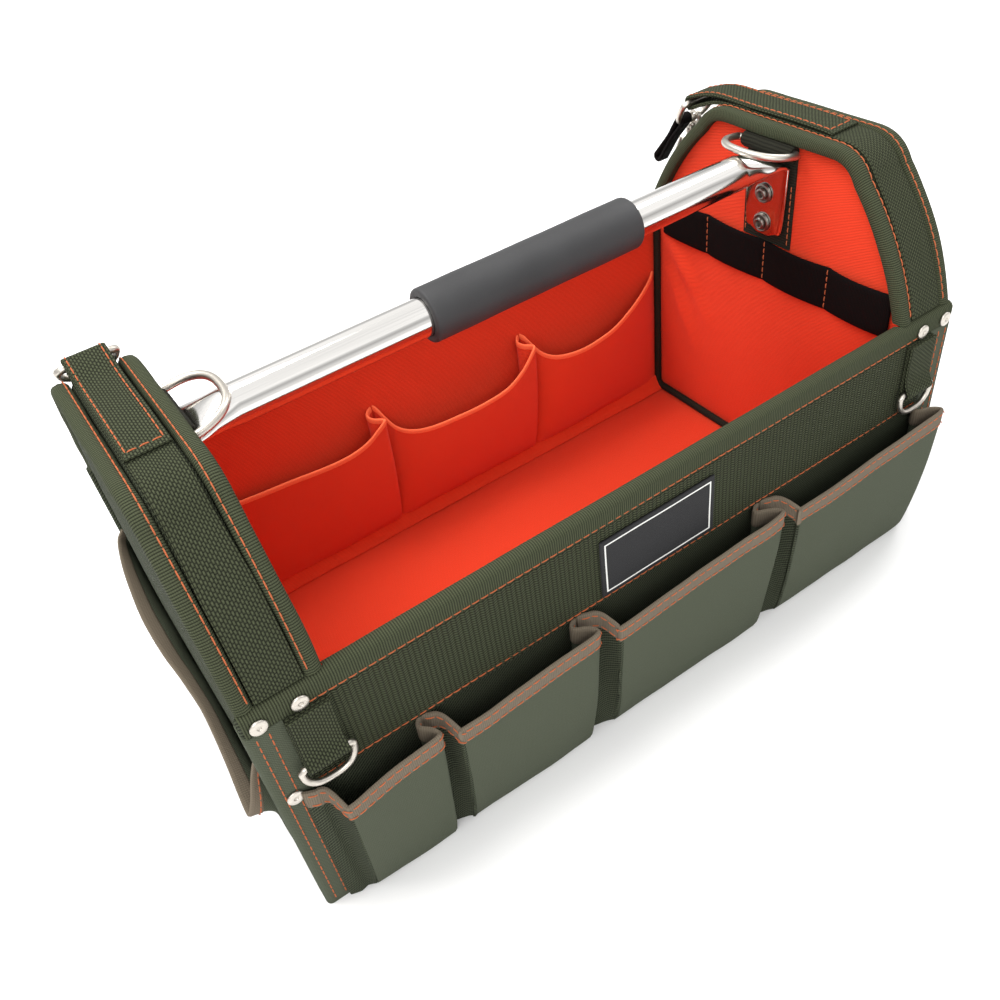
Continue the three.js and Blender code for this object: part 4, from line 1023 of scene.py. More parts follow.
def rim_section():
    """Padded tape round a panel's edge: across it, and depth below its outline."""
    round_top = 2.6
    turn = np.radians([180, 155, 130, 110, 90])
    left = np.stack([round_top + round_top * np.cos(turn), round_top - round_top * np.sin(turn)], -1)
    right = (left * [-1, 1] + [RIM_WIDTH, 0])[::-1]
    crown = [[RIM_WIDTH * 0.5, -0.3]]
    foot = [[RIM_WIDTH, RIM_DEPTH - 1.0], [RIM_WIDTH - 0.8, RIM_DEPTH], [0.8, RIM_DEPTH],
            [0, RIM_DEPTH - 1.0]]
    sides = [[RIM_WIDTH + 0.15, RIM_DEPTH * 0.55]]
    other = [[-0.15, RIM_DEPTH * 0.55]]
    return np.concatenate([left, crown, right, sides, foot, other])


def build_rims(name, side):
    section = rim_section()
    steps = 150
    for kind, start in (("inner", END_FACE), ("outer", HALF_LENGTH - RIM_WIDTH)):
        lines = np.stack([outline_above(depth, RIM_FOOT, steps) for depth in section[:, 1]], 1)
        points = space(side * (start + section[:, 0]), lines[..., 0], lines[..., 1])
        points[..., 0] += ripple(points, 26.0, 0.5, 25 + side)
        edge = Piece().loft(points, run_lengths(lines[:, 4]), section).build(
            f"{name}_{kind}_edge", rib_tape(), "webbing", replaces=[f"{name}_{kind}_rim"])


STRAP_ENDS = {
    "left": {"bar": (END_TOP_BACK - 3.0, END_HEIGHT + 3.0), "arch": 1.0, "lean": 44.0},
    "right": {"bar": (END_TOP_BACK + 24.0, END_HEIGHT - 8.0), "arch": 2.8, "lean": 56.0},
}
STRAP_DOUBLED = 0.6


def strap_lines(name):
    """The strap's two layers as Y and Z: webbing up and over the ridge, and a loop on top of it."""
    end = STRAP_ENDS[name]
    bar = np.array(end["bar"])
    middle = STRAP_CLOTH / 2 + GAP
    raised = middle - STRAP_CLOTH - GAP
    lifts_at = END_TOP_BACK - END_CORNER
    start = -END_TOP_FRONT * STRAP_DOUBLED
    below = outline_above(middle, RIM_FOOT + 0.5, 110)
    reach = bar - [lifts_at, END_HEIGHT]
    heading = math.degrees(math.atan2(reach[1], reach[0]))
    turn = STRAP_RING["wire"] + GAP + STRAP_CLOTH / 2
    round_bar = arc_points(bar, turn, heading + 90, heading - 90, 9)
    arch = np.array([0.0, end["arch"]])
    top = END_HEIGHT - raised
    upper = np.array([[start, top - 0.6], [start + 6, top], [-8, top + 0.4], [lifts_at - 8, top]])
    last = (round_bar[0] + [lifts_at, top]) / 2 + arch
    under = np.array([
        (round_bar[-1] + [lifts_at, END_HEIGHT - middle]) / 2 + arch,
        [lifts_at, END_HEIGHT - middle + 0.3], [lifts_at - 10, END_HEIGHT - middle + 1.0]])
    loop = smooth_line(np.concatenate([upper, [last], round_bar, under]), 4)
    return below, loop


def build_strap(name, side):
    below, loop = strap_lines(name)
    piece = Piece()
    path, up = across_x(below, side * STRAP_MIDDLE)
    narrows_from, narrows_over, narrower = 195.0, 25.0, 0.12
    slack = np.clip((below[:, 1] - narrows_from) / narrows_over, 0.0, 1.0) * narrower
    scale = np.stack([1 - slack, np.ones(len(below))], -1)
    piece.sweep(path, up, flat_section(STRAP_WIDTH, STRAP_CLOTH, edge=0.8), scale=scale)
    path, up = across_x(loop, side * STRAP_MIDDLE)
    piece.sweep(path, up, flat_section(STRAP_WIDTH * 0.9, STRAP_CLOTH, edge=0.8))
    piece.build(f"{name}_strap_webbing", pebble_webbing(), "webbing", replaces=[f"{name}_strap"])


def build_patch(name, side):
    """Webbing up the lining behind the handle, its top folded over the inner ring's bar."""
    turn = INNER_RING["wire"] + GAP + PATCH_CLOTH / 2
    wall = END_LINING_FACE - GAP - PATCH_CLOTH / 2
    bar = (wall - turn, TUBE_HEIGHT + INNER_RING_LIFT)
    foot = face("right_patch", 0, 2)
    line = np.concatenate([
        [[wall, foot], [wall, foot + 25], [wall, bar[1] - 12], [wall, bar[1] - 4]],
        arc_points(bar, turn, 0, 225, 11),
        [[bar[0] - turn * 0.1, bar[1] - turn * 1.25], [bar[0] + turn * 0.25, bar[1] - turn * 1.4]]])
    line = smooth_line(line, 4)
    path = np.column_stack([side * line[:, 0], np.zeros(len(line)), line[:, 1]])
    up = np.cross([0.0, 1.0, 0.0], unit(np.gradient(path, axis=0)))
    width = extent("right_patch", 1)
    piece = Piece().sweep(path, up, flat_section(width, PATCH_CLOTH, edge=0.8))
    piece.build(f"{name}_patch_webbing", dark_webbing(), "dark_olive", replaces=[f"{name}_patch"])


def build_piping(name, side):
    """Seam tape down the back corner and along the floor."""
    x = side * (END_LINING_FACE - GAP - PIPING / 2)
    back = LINING_FACE - GAP - PIPING / 2
    low = FLOOR_TOP + GAP + PIPING / 2
    bend = 4.0
    line = np.concatenate([
        [[back, BINDING_LOW - GAP], [back, 90.0], [back, 50.0], [back, low + bend]],
        arc_points((back - bend, low + bend), bend, 0, -90, 6)[1:],
        [[40.0, low], [0.0, low], [-50.0, low], [-LINING_FACE + GAP, low]]])
    path, up = across_x(resampled(line, 90), x)
    section = round_section(PIPING / 2, 14)
    section = np.sign(section) * np.abs(section / (PIPING / 2)) ** 0.75 * PIPING / 2
    piece = Piece().sweep(path, up, section)
    piece.build(f"{name}_seam_tape", dark_webbing(), "dark_olive", replaces=[f"{name}_piping"])


# Handle


def build_handle():
    plate_middle = END_LINING_FACE - GAP - PATCH_CLOTH - GAP - TAB_PLATE / 2
    start = plate_middle - TUBE_END_LENGTH
    # Share of the end's length, share of the plate's, heading, half width, half thickness, squareness
    rows = np.array([
        [0.00, 0.00, 0, TUBE_RADIUS, TUBE_RADIUS, 1],
        [0.38, 0.00, 0, TUBE_RADIUS * 1.2, TUBE_RADIUS * 0.72, 0.9],
        [0.68, 0.00, -4, TAB_PLATE_HALF * 0.95, TUBE_RADIUS * 0.38, 0.75],
        [0.86, 0.01, -14, TAB_PLATE_HALF, TAB_PLATE * 0.55, 0.6],
        [0.97, 0.05, -55, TAB_PLATE_HALF, TAB_PLATE * 0.5, 0.5],
        [1.00, 0.12, -90, TAB_PLATE_HALF, TAB_PLATE / 2, 0.5],
        [1.00, 0.86, -90, TAB_PLATE_HALF * 0.9, TAB_PLATE / 2, 0.5],
        [1.00, 0.95, -90, TAB_PLATE_HALF * 0.68, TAB_PLATE / 2, 0.5],
        [1.00, 1.00, -90, TAB_PLATE_HALF * 0.35, TAB_PLATE / 2, 0.5],
    ])
    fine = smooth_line(rows, 7)
    sides = 48
    turn = np.linspace(0.0, 2 * np.pi, sides, endpoint=False)

    def ring(station, side):
        out, fall, heading, half_width, half_thick, square = station
        angle = math.radians(side * heading)
        up = np.array([-math.sin(angle), 0.0, math.cos(angle)])
        place = np.array([side * (start + TUBE_END_LENGTH * out), 0.0, TUBE_HEIGHT - TAB_PLATE_DROP * fall])
        rounded = np.sign(np.cos(turn)) * np.abs(np.cos(turn)) ** square
        raised = np.sign(np.sin(turn)) * np.abs(np.sin(turn)) ** square
        return place + rounded[:, None] * [0.0, half_width, 0.0] + (raised * half_thick)[:, None] * up

    rings = np.array([ring(s, -1) for s in fine[::-1]] + [ring(s, 1) for s in fine])
    piece = Piece()
    ids = piece.add_points(rings)
    along = run_lengths(rings.mean(1))
    around = np.linspace(0.0, 2 * np.pi * TUBE_RADIUS, sides + 1)
    piece.add_quads(ids, lattice(along, around), wrap_columns=True)
    for end in (0, -1):
        piece.add_polygon(ids[end], rings[end][:, 1:])
    piece.build("handle_tube_polished", steel(), "steel", replaces=["handle_tube"], crease=35)

    piece = Piece()
    half = extent("handle_grip", 0) / 2
    radius = extent("handle_grip", 2) / 2
    bore = TUBE_RADIUS + GAP
    edge = 1.6
    turn = np.radians(np.linspace(0, 90, 6))
    shoulder = np.stack([radius - edge + edge * np.sin(turn), half - edge + edge * np.cos(turn)], -1)
    body = [[radius + 0.1 * math.sin(k * 1.7), half - 8 - k * (half - 8) / 4] for k in range(4)]
    upper = np.concatenate([[[bore, half]], shoulder, body])
    profile = np.concatenate([upper, [[radius, 0.0]], upper[::-1] * [1, -1]])
    place = Matrix.Translation(Vector(centre("handle_grip"))) @ Matrix.Rotation(math.pi / 2, 4, "Y")
    piece.lathe(profile, 56, place, sleeve=True)
    grip = piece.build("handle_grip_foam", foam(), "foam", replaces=["handle_grip"], crease=50)


def build_tab_nuts():
    """A round nut over a flanged washer at each of the handle's four fixings."""
    for side_name in ("left", "right"):
        for place_name in ("upper", "lower"):
            node = f"{side_name}_{place_name}_tab_rivet"
            middle = centre(node)
            side = 1 if middle[0] > 0 else -1
            radius = extent(node, 1) / 2
            height = extent(node, 0)
            profile = [
                [0.01, 0.0], [radius, 0.0], [radius, height * 0.3], [radius * 0.95, height * 0.45],
                [radius * 0.84, height * 0.5], [radius * 0.76, height * 0.42], [radius * 0.70, height * 0.2],
                [radius * 0.62, height * 0.2], [radius * 0.60, height * 0.8], [radius * 0.54, height * 0.95],
                [radius * 0.44, height], [radius * 0.36, height * 0.94], [radius * 0.30, height * 0.6],
                [radius * 0.26, height * 0.3], [0.01, height * 0.3]]
            foot = side * (abs(middle[0]) + height / 2)
            place = Matrix.Translation(Vector((foot, middle[1], middle[2])))
            place = place @ Matrix.Rotation(-side * math.pi / 2, 4, "Y")
            piece = Piece().lathe(profile, 36, place)
            piece.build(f"{side_name}_{place_name}_nut", dull_steel(), "nickel", replaces=[node], crease=35)


# Rings


def ring_line(ring, count=64):
    """The middle of a ring's wire: its bar along X through the origin, its bow towards -Y."""
    bar, reach, wire = ring["bar"], ring["reach"], ring["wire"]
    straight = np.linspace(-1.0, 1.0, 12)[:, None] * [bar / 2 - wire * 1.1, 0.0]
    angles = np.linspace(0.0, math.pi, count)
    across = np.sign(np.cos(angles)) * np.abs(np.cos(angles)) ** RING_FLATNESS * bar / 2
    cosine = (2 * np.abs(across) / bar) ** (1 / RING_FLATNESS)
    depth = wire + (reach - wire) * np.sqrt(np.clip(1 - cosine ** 2, 0, 1)) ** RING_FLATNESS
    bow = np.stack([across, -depth], -1)
    line = np.concatenate([straight, bow, straight[:1]])
    return resampled(line, 110)[:-1]


def build_ring(name, ring, place, turn, lean, body):
    line = ring_line(ring)
    path = np.column_stack([line, np.zeros(len(line))])
    carry = Matrix.Translation(Vector(place)) @ Matrix.Rotation(turn, 4, "Z") @ Matrix.Rotation(lean, 4, "X")
    up = moved(np.array([[0.0, 0.0, 1.0]]), carry) - moved(np.array([[0.0, 0.0, 0.0]]), carry)
    piece = Piece().sweep(moved(path, carry), up[0], round_section(ring["wire"], 14), closed=True)
    piece.build(f"{name}_wire", nickel(), "nickel", body=body, replaces=[name], crease=60)


def joint_place(name):
    joint = next(j for j in frame["joints"] if j["name"] == name)
    return np.array(joint["pos_m"]) / MM - MIDDLE


def build_rings():
    lean = math.asin((INNER_RING_LIFT - TUBE_RADIUS - INNER_RING["wire"] - GAP) / INNER_RING["reach"])
    for name, side in SIDES:
        build_ring(f"{name}_inner_ring", INNER_RING, joint_place(f"{name}_inner_ring_swing"),
                   -side * math.pi / 2, lean, f"{name}_inner_ring")
        end = STRAP_ENDS[name]
        body = "left_strap_ring" if side < 0 else "tote"
        build_ring(f"{name}_strap_ring", STRAP_RING, (side * STRAP_MIDDLE, *end["bar"]),
                   math.pi, math.radians(end["lean"]), body)
        build_ring(f"{name}_front_ring", FRONT_RING, joint_place(f"{name}_front_ring_swing"),
                   0.0, math.pi / 2, f"{name}_front_ring")


# Front: band, label, tabs, corner strips and rivets


def build_band():
    middle = flat_grid((-BAND_HALF, BAND_HALF), (BAND_LOW, BAND_TOP), -BAND_FACE + BAND_CLOTH / 2, 16, 130)
    down = np.clip((BAND_LOW + 18 - middle[..., 2]) / 18, 0, 1)
    middle[..., 1] -= down * (0.35 + ripple(middle, 28.0, 0.6, 31))
    piece = Piece().shell(middle, BAND_CLOTH)
    piece.build("front_band_webbing", zigzag_band(), "webbing", replaces=["front_band"])


def label_material():
    """Black cloth with a thin pale frame near its edge and nothing inside it."""
    material, tree, shader = new_material("Label")
    if tree is None:
        return material
    cloth = cloth_places(tree)
    split = tree.nodes.new("ShaderNodeSeparateXYZ")
    tree.links.new(cloth, split.inputs[0])
    half_width = extent("label", 0) / 2 * MM
    height = extent("label", 2) * MM
    inset, line = 2.6 * MM, 0.45 * MM
    in_x = calc(tree, "SUBTRACT", half_width, calc(tree, "ABSOLUTE", split.outputs["X"]))
    in_y = calc(tree, "SUBTRACT", height / 2,
                calc(tree, "ABSOLUTE", calc(tree, "SUBTRACT", split.outputs["Y"], height / 2)))
    inside = calc(tree, "MINIMUM", in_x, in_y)
    away = calc(tree, "ABSOLUTE", calc(tree, "SUBTRACT", inside, inset))
    frame_line = calc(tree, "LESS_THAN", away, line)
    weave = put_group(tree, "weave", Cloth=cloth, Across=0.5 * MM, Along=0.5 * MM)
    # Painted light and shade: the weave's raised threads take the lit black and its low places the dark
    # black
    dark, lit, pale = (0.002, 0.002, 0.003, 1.0), (0.008, 0.008, 0.01, 1.0), (0.75, 0.75, 0.72, 1.0)
    ground = blend_colours(tree, weave.outputs["Height"], dark, lit)
    tree.links.new(blend_colours(tree, frame_line, ground, pale), shader.inputs["Base Color"])
    shader.inputs["Roughness"].default_value = 0.75
    height = calc(tree, "ADD", weave.outputs["Height"], calc(tree, "MULTIPLY", frame_line, 3.0))
    raise_surface(tree, shader, height, 0.1)
    return material


def build_label():
    xs = (face("label", 0, 0), face("label", 1, 0))
    zs = (face("label", 0, 2), face("label", 1, 2))
    middle = flat_grid(xs, zs, centre("label")[1], 14, 26)
    middle[..., 1] += ripple(middle, 20.0, 0.25, 33)
    piece = Piece().shell(middle, extent("label", 1))
    piece.build("label_patch", label_material(), "black", replaces=["label"])


def build_tabs():
    bar = joint_place("right_front_ring_swing")
    back = BAND_FACE + GAP + TAB_CLOTH / 2
    turn = FRONT_RING["wire"] + GAP + TAB_CLOTH / 2
    front = -back - TAB_CLOTH - GAP
    line = np.concatenate([
        [[-back, BAND_TOP], [-back, bar[2] + turn * 3], [-back, bar[2] + turn]],
        arc_points(bar[1:], turn, -20, -180, 9),
        [[bar[1] - turn, bar[2] + turn * 0.3], [front, bar[2] + turn * 3.2], [front, BAND_TOP]]])
    line = smooth_line(line, 4)
    for name, side in SIDES:
        path, up = across_x(line, side * abs(bar[0]))
        piece = Piece().sweep(path, up, flat_section(TAB_WIDTH, TAB_CLOTH, edge=0.7))
        piece.build(f"{name}_tab_webbing", pebble_webbing(), "webbing", replaces=[f"{name}_front_tab"])


def build_corner_strips():
    face_y = -WALL_FACE - GAP - BINDING_CLOTH / 2
    face_x = HALF_LENGTH + GAP + BINDING_CLOTH / 2
    bend = 2.2
    line = np.concatenate([
        np.linspace([HALF_LENGTH - CORNER_STRIP, face_y], [face_x - bend, face_y], 8),
        arc_points((face_x - bend, face_y + bend), bend, -90, 0, 6)[1:],
        np.linspace([face_x, face_y + bend], [face_x, -WALL_FACE + 9.0], 6)[1:]])
    heights = np.linspace(0.0, BINDING_LOW - GAP, 36)
    for name, side in SIDES:
        middle = space(side * line[:, 0], line[:, 1], heights[:, None])
        middle[..., 1] -= np.abs(ripple(middle, 26.0, 0.4, 35))
        piece = Piece().shell(middle, BINDING_CLOTH)
        piece.build(f"{name}_corner_tape", pocket_cloth(), "olive", replaces=[f"{name}_corner_strip"])


def build_rivets():
    nodes = [f"{side}_{kind}_rivet" for side in ("left", "right") for kind in ("corner", "tab")]
    for node in [*nodes, "left_pocket_rivet"]:
        middle = centre(node)
        radius = extent(node, 0) / 2
        height = extent(node, 1)
        profile = np.array([
            [0.01, 0.0], [0.97, 0.0], [1.0, 0.22], [0.98, 0.42], [0.92, 0.58], [0.84, 0.66], [0.7, 0.72],
            [0.5, 0.76], [0.34, 0.75], [0.26, 0.68], [0.2, 0.4], [0.12, 0.34], [0.01, 0.36]])
        place = Matrix.Translation(Vector((middle[0], face(node, 1, 1), middle[2])))
        place = place @ Matrix.Rotation(math.pi / 2, 4, "X")
        piece = Piece().lathe(profile * [radius, height], 40, place)
        piece.build(f"{node}_head", nickel(), "nickel", replaces=[node], crease=45)


# Pockets. Each row of a table is one place across a pocket: where it lies along the wall and how
# far out it stands, both at the hem, how far out at the foot, and how far the hem drops there.

FRONT_TABLE = [
    [0.00, 0.00, 0.00, 0.0], [0.06, 0.13, 0.08, 0.0], [0.12, 0.22, 0.15, 0.1], [0.165, 0.42, 0.22, 0.4],
    [0.20, 0.76, 0.30, 1.0], [0.222, 1.00, 0.35, 1.5], [0.232, 1.03, 0.36, 1.5],
    [0.30, 1.05, 0.38, 1.35], [0.45, 1.07, 0.40, 0.85], [0.65, 1.08, 0.42, 0.4],
    [0.85, 1.07, 0.42, 0.2], [1.00, 1.03, 0.41, 0.15], [1.05, 0.98, 0.40, 0.1], [1.06, 0.84, 0.36, 0.2],
    [1.03, 0.62, 0.28, 0.1], [0.975, 0.42, 0.2, 0.0], [0.965, 0.25, 0.12, 0.0],
    [0.985, 0.12, 0.06, 0.0], [1.01, 0.02, 0.00, 0.0],
]
GUSSET = 0.226
INNER_TABLES = {
    "left": [
        [0.00, 0.00, 0.00, 0.62], [0.05, 0.12, 0.06, 0.66], [0.20, 0.25, 0.10, 0.72],
        [0.40, 0.38, 0.14, 0.76], [0.60, 0.55, 0.16, 0.76], [0.76, 0.72, 0.17, 0.70],
        [0.88, 0.88, 0.17, 0.48], [0.96, 0.99, 0.17, 0.15], [1.00, 0.98, 0.16, 0.0],
        [1.005, 0.84, 0.14, 0.0], [0.965, 0.60, 0.10, 0.0], [0.955, 0.34, 0.06, 0.0],
        [0.975, 0.12, 0.03, 0.0], [1.00, 0.00, 0.00, 0.0],
    ],
    "middle": [
        [0.00, 0.00, 0.00, 0.0], [0.012, 0.16, 0.05, 0.06], [0.035, 0.34, 0.10, 0.3],
        [0.08, 0.52, 0.14, 0.66], [0.16, 0.68, 0.16, 0.9], [0.28, 0.82, 0.16, 1.0],
        [0.45, 0.93, 0.16, 1.0], [0.62, 0.99, 0.16, 0.97], [0.78, 1.01, 0.16, 0.84],
        [0.90, 1.02, 0.16, 0.5], [0.975, 1.02, 0.16, 0.12], [1.00, 0.98, 0.16, 0.0],
        [1.005, 0.84, 0.14, 0.0], [0.97, 0.60, 0.10, 0.0], [0.96, 0.34, 0.06, 0.0],
        [0.98, 0.12, 0.03, 0.0], [1.00, 0.00, 0.00, 0.0],
    ],
    "right": [
        [0.00, 0.00, 0.00, 0.0], [0.012, 0.16, 0.05, 0.06], [0.035, 0.36, 0.10, 0.3],
        [0.08, 0.56, 0.14, 0.66], [0.16, 0.74, 0.16, 0.92], [0.28, 0.88, 0.16, 1.0],
        [0.42, 0.95, 0.16, 0.98], [0.56, 0.9, 0.15, 0.86], [0.70, 0.74, 0.13, 0.62],
        [0.84, 0.5, 0.10, 0.34], [0.94, 0.25, 0.06, 0.14], [1.00, 0.00, 0.00, 0.05],
    ],
}
OUTER_TABLE = [
    [0.00, 0.00, 0.00, 0.0], [-0.005, 0.30, 0.02, 0.5], [-0.012, 0.62, 0.03, 1.2],
    [-0.006, 0.86, 0.04, 1.7], [0.016, 0.90, 0.04, 1.8], [0.06, 0.84, 0.04, 1.6],
    [0.13, 0.72, 0.04, 1.3], [0.22, 0.62, 0.04, 1.1], [0.32, 0.58, 0.04, 1.0], [0.42, 0.66, 0.04, 0.9],
    [0.53, 0.80, 0.04, 0.8], [0.66, 0.84, 0.04, 0.65], [0.80, 0.72, 0.04, 0.5], [0.92, 0.52, 0.03, 0.4],
    [0.98, 0.28, 0.02, 0.15], [1.00, 0.00, 0.00, 0.0],
]


class Pocket:
    """A bellows pocket's cloth, worked out at any level from its foot, 0, to its hem, 1. A level
    below 0 is where the cloth goes back to the wall under the pocket."""

    def __init__(self, table, start, end, low, top, depth, drop, place, seed, flare=0.6):
        self.key = smooth_line(table, 5)
        self.flare = flare
        self.span = (start, end)
        self.low, self.top, self.depth, self.drop = low, top, depth, drop
        self.place = place
        self.seed = seed

    def rows(self, levels):
        along, out, foot, fall = self.key.T
        start, end = self.span
        grid = []
        for level in levels:
            closing = level < 0
            level = max(level, 0.0)
            spread = level ** self.flare
            straight = np.clip(along, 0.0, 1.0)
            share = straight + (along - straight) * spread
            stand = 0.0 if closing else self.depth * (foot + (out - foot) * spread)
            belly = 0.05 * self.depth * math.sin(math.pi * min(level, 1.0)) * np.clip(out * 2 - 1, 0, 1)
            height = self.low + (self.top - self.drop * fall - self.low) * level
            grid.append(self.place(start + (end - start) * share, stand + belly, height))
        grid = np.array(grid)
        soft = np.clip(out * 1.5, 0, 1)[None, :, None] * grid_normals(grid)
        wrinkles = ripple(grid * [1.0, 1.0, 0.55], 24.0, sizes().wrinkle, self.seed)
        return grid + soft * wrinkles[..., None]

    def hem_level(self, height):
        return 1 - height / (self.top - self.low)


def sew_grid_row(piece, grid, row, lift, outwards, trim=2):
    """Stitches along one row of a grid, lifted off it on the side that faces outwards."""
    normals = grid_normals(grid)[row]
    sign = np.sign((normals * outwards).sum(-1).mean()) or 1.0
    line = grid[row] + normals * sign * lift
    piece.sew(line[trim:len(line) - trim], normals[trim:len(line) - trim] * sign)


def build_pocket(name, pocket, node, cloth, slot, hem_cloth, hem_slot, hem, thicker, gusset=0.0):
    """The pocket's cloth and the tape on its hem. Returns the hem's grid and thickness."""
    piece = Piece()
    grid = pocket.rows([-1.0, *(np.linspace(0.0, 1.0, 26) ** (0.5 if pocket.flare > 1 else 1.0))])
    thick = sizes().pocket_cloth
    piece.shell(grid, thick)
    columns = grid.shape[1]
    beside = int(np.argmax(pocket.key[:, 0] > gusset))
    column = np.arange(len(piece.finishes[0])) % (2 * columns + 2)
    piece.finishes[0][(column < beside) | (column > 2 * columns - beside)] = 1 if gusset else 0
    piece.build(name, cloth, slot, replaces=[node])
    piece = Piece()
    top = 1.0 + 0.6 / (pocket.top - pocket.low)
    edge = pocket.rows(np.linspace(pocket.hem_level(hem), top, 9))
    piece.shell(edge, thick + thicker, soft=1.0)
    piece.build(f"{name}_hem", hem_cloth, hem_slot)
    return edge, thick + thicker


FRONT_POCKETS = [("front_pocket_1", -200.0, -141.5), ("front_pocket_2", -139.5, -54.0),
                 ("front_pocket_3", -51.0, 67.5), ("front_pocket_4", 71.0, 193.0)]


def build_front_pockets():
    seams = Piece()
    foot_face = -WALL_FACE - GAP - 1.2

    def on_front(along, out, height):
        over_strip = np.clip((-HALF_LENGTH + CORNER_STRIP + 4 - along) / 4, 0, 1) * (BINDING_CLOTH + 0.4)
        return space(along, foot_face - out - over_strip, height)

    for index, (node, start, end) in enumerate(FRONT_POCKETS):
        top = face(node, 1, 2)
        depth = -face(node, 0, 1) - WALL_FACE - 2.2
        gusset = GUSSET if index == 0 else 0.13
        table = np.array(FRONT_TABLE)
        table[:7, 0] *= gusset / GUSSET
        drop = 5.5 if index == 0 else 4.0
        pocket = Pocket(table, start, end, 0.9, top, depth, drop, on_front, 41 + index)
        hem, thick = build_pocket(f"{node}_cloth", pocket, node, [pocket_cloth(), olive_cloth()], "olive",
                                  pocket_hem(), "hem", sizes().hem, 0.9, gusset)
        for row in (1, 7):
            sew_grid_row(seams, hem, row, thick / 2, np.array([0.0, -1.0, 0.0]))
    seams.build("front_pocket_stitches", thread_material(), "thread")


INNER_DROPS = {"left": 22.0, "middle": 23.0, "right": 20.0}


def build_inner_pockets():
    foot_face = LINING_FACE - GAP - 0.8

    def on_back(along, out, height):
        return space(along, foot_face - out, height)

    for index, (name, table) in enumerate(INNER_TABLES.items()):
        node = f"{name}_inner_pocket"
        depth = LINING_FACE - face(node, 0, 1) - 1.5
        pocket = Pocket(table, face(node, 0, 0) + 1, face(node, 1, 0) - 1, FLOOR_TOP + POCKET_LIFT,
                        face(node, 1, 2), depth, INNER_DROPS[name], on_back, 51 + index)
        build_pocket(f"{node}_cloth", pocket, node, lining_cloth(), "red", lining_hem(), "lining_hem",
                     1.6, 0.5)


def build_outer_pocket():
    seams = Piece()
    node = "left_outer_pocket"
    panel = -PAD_OUTSIDE - GAP - 1.0

    def on_end(along, out, height):
        return space(panel - out, along, height)

    half = extent(node, 1) / 2
    pocket = Pocket(OUTER_TABLE, -half, half, face(node, 0, 2), face(node, 1, 2), OUTER_POCKET_DEPTH,
                    OUTER_POCKET_DROP, on_end, 61, OUTER_POCKET_FLARE)
    hem, thick = build_pocket(f"{node}_cloth", pocket, node, pocket_cloth(), "olive", pocket_hem(), "hem",
                              OUTER_HEM, 0.8)
    sew_grid_row(seams, hem, 2, thick / 2, np.array([-1.0, 0.0, 0.0]))
    seams.build("outer_pocket_stitches", thread_material(), "thread")


# Elastic, hook and loop


def build_elastic():
    face_x = END_LINING_FACE - GAP - ELASTIC_CLOTH / 2 - 0.6
    low, high = face("tool_elastic", 0, 2), face("tool_elastic", 1, 2)
    seams = [face("tool_elastic", 0, 1), -ELASTIC_LOOP, 0.0, ELASTIC_LOOP, face("tool_elastic", 1, 1)]
    ys = []
    bulge = []
    for start, end in zip(seams, seams[1:]):
        share = np.linspace(0.0, 1.0, 18, endpoint=False)
        ys.append(start + (end - start) * share)
        bulge.append(np.sin(np.pi * share) ** 0.7)
    ys = np.append(np.concatenate(ys), seams[-1])
    bulge = np.append(np.concatenate(bulge), 0.0)
    zs = np.linspace(low, high, 10)
    lip = np.linspace(0.75, 1.0, 10)
    middle = space(face_x - ELASTIC_BULGE * bulge * lip[:, None], ys, zs[:, None])
    middle[..., 2] += ripple(middle, 30.0, 0.5, 71)
    piece = Piece().shell(middle, ELASTIC_CLOTH)
    piece.build("tool_loops", black_elastic(), "black", replaces=["tool_elastic"])
    seams_piece = Piece()
    for y in seams[1:-1]:
        line = np.linspace([face_x - 0.9, y, low], [face_x - 0.9, y, high], 12)
        seams_piece.sew(line, [-1.0, 0.0, 0.0], pitch=3.6)
    seams_piece.build("tool_loop_stitches", thread_material(), "thread")


HOOK_EYE = 3.7
HOOK_WIRE = 1.3
HOOK_COLLAR_RADIUS = 3.0
HOOK_COLLAR = 3.4
HOOK_BARREL = 4.0
HOOK_LENGTH = 39.0
HOOK_HALF_WIDTH = 4.5
HOOK_OPENING = 4.5
HOOK_KNOB = 2.0
LOOP_LENGTH = 42.0
LOOP_THICKNESS = 7.0
LOOP_WIDTH = 6.4
LOOP_LEAN = 36.0
LOOP_PLACE = 0.23
LOOP_CLOTH = 2.4
LOOP_SPREAD = 1.6


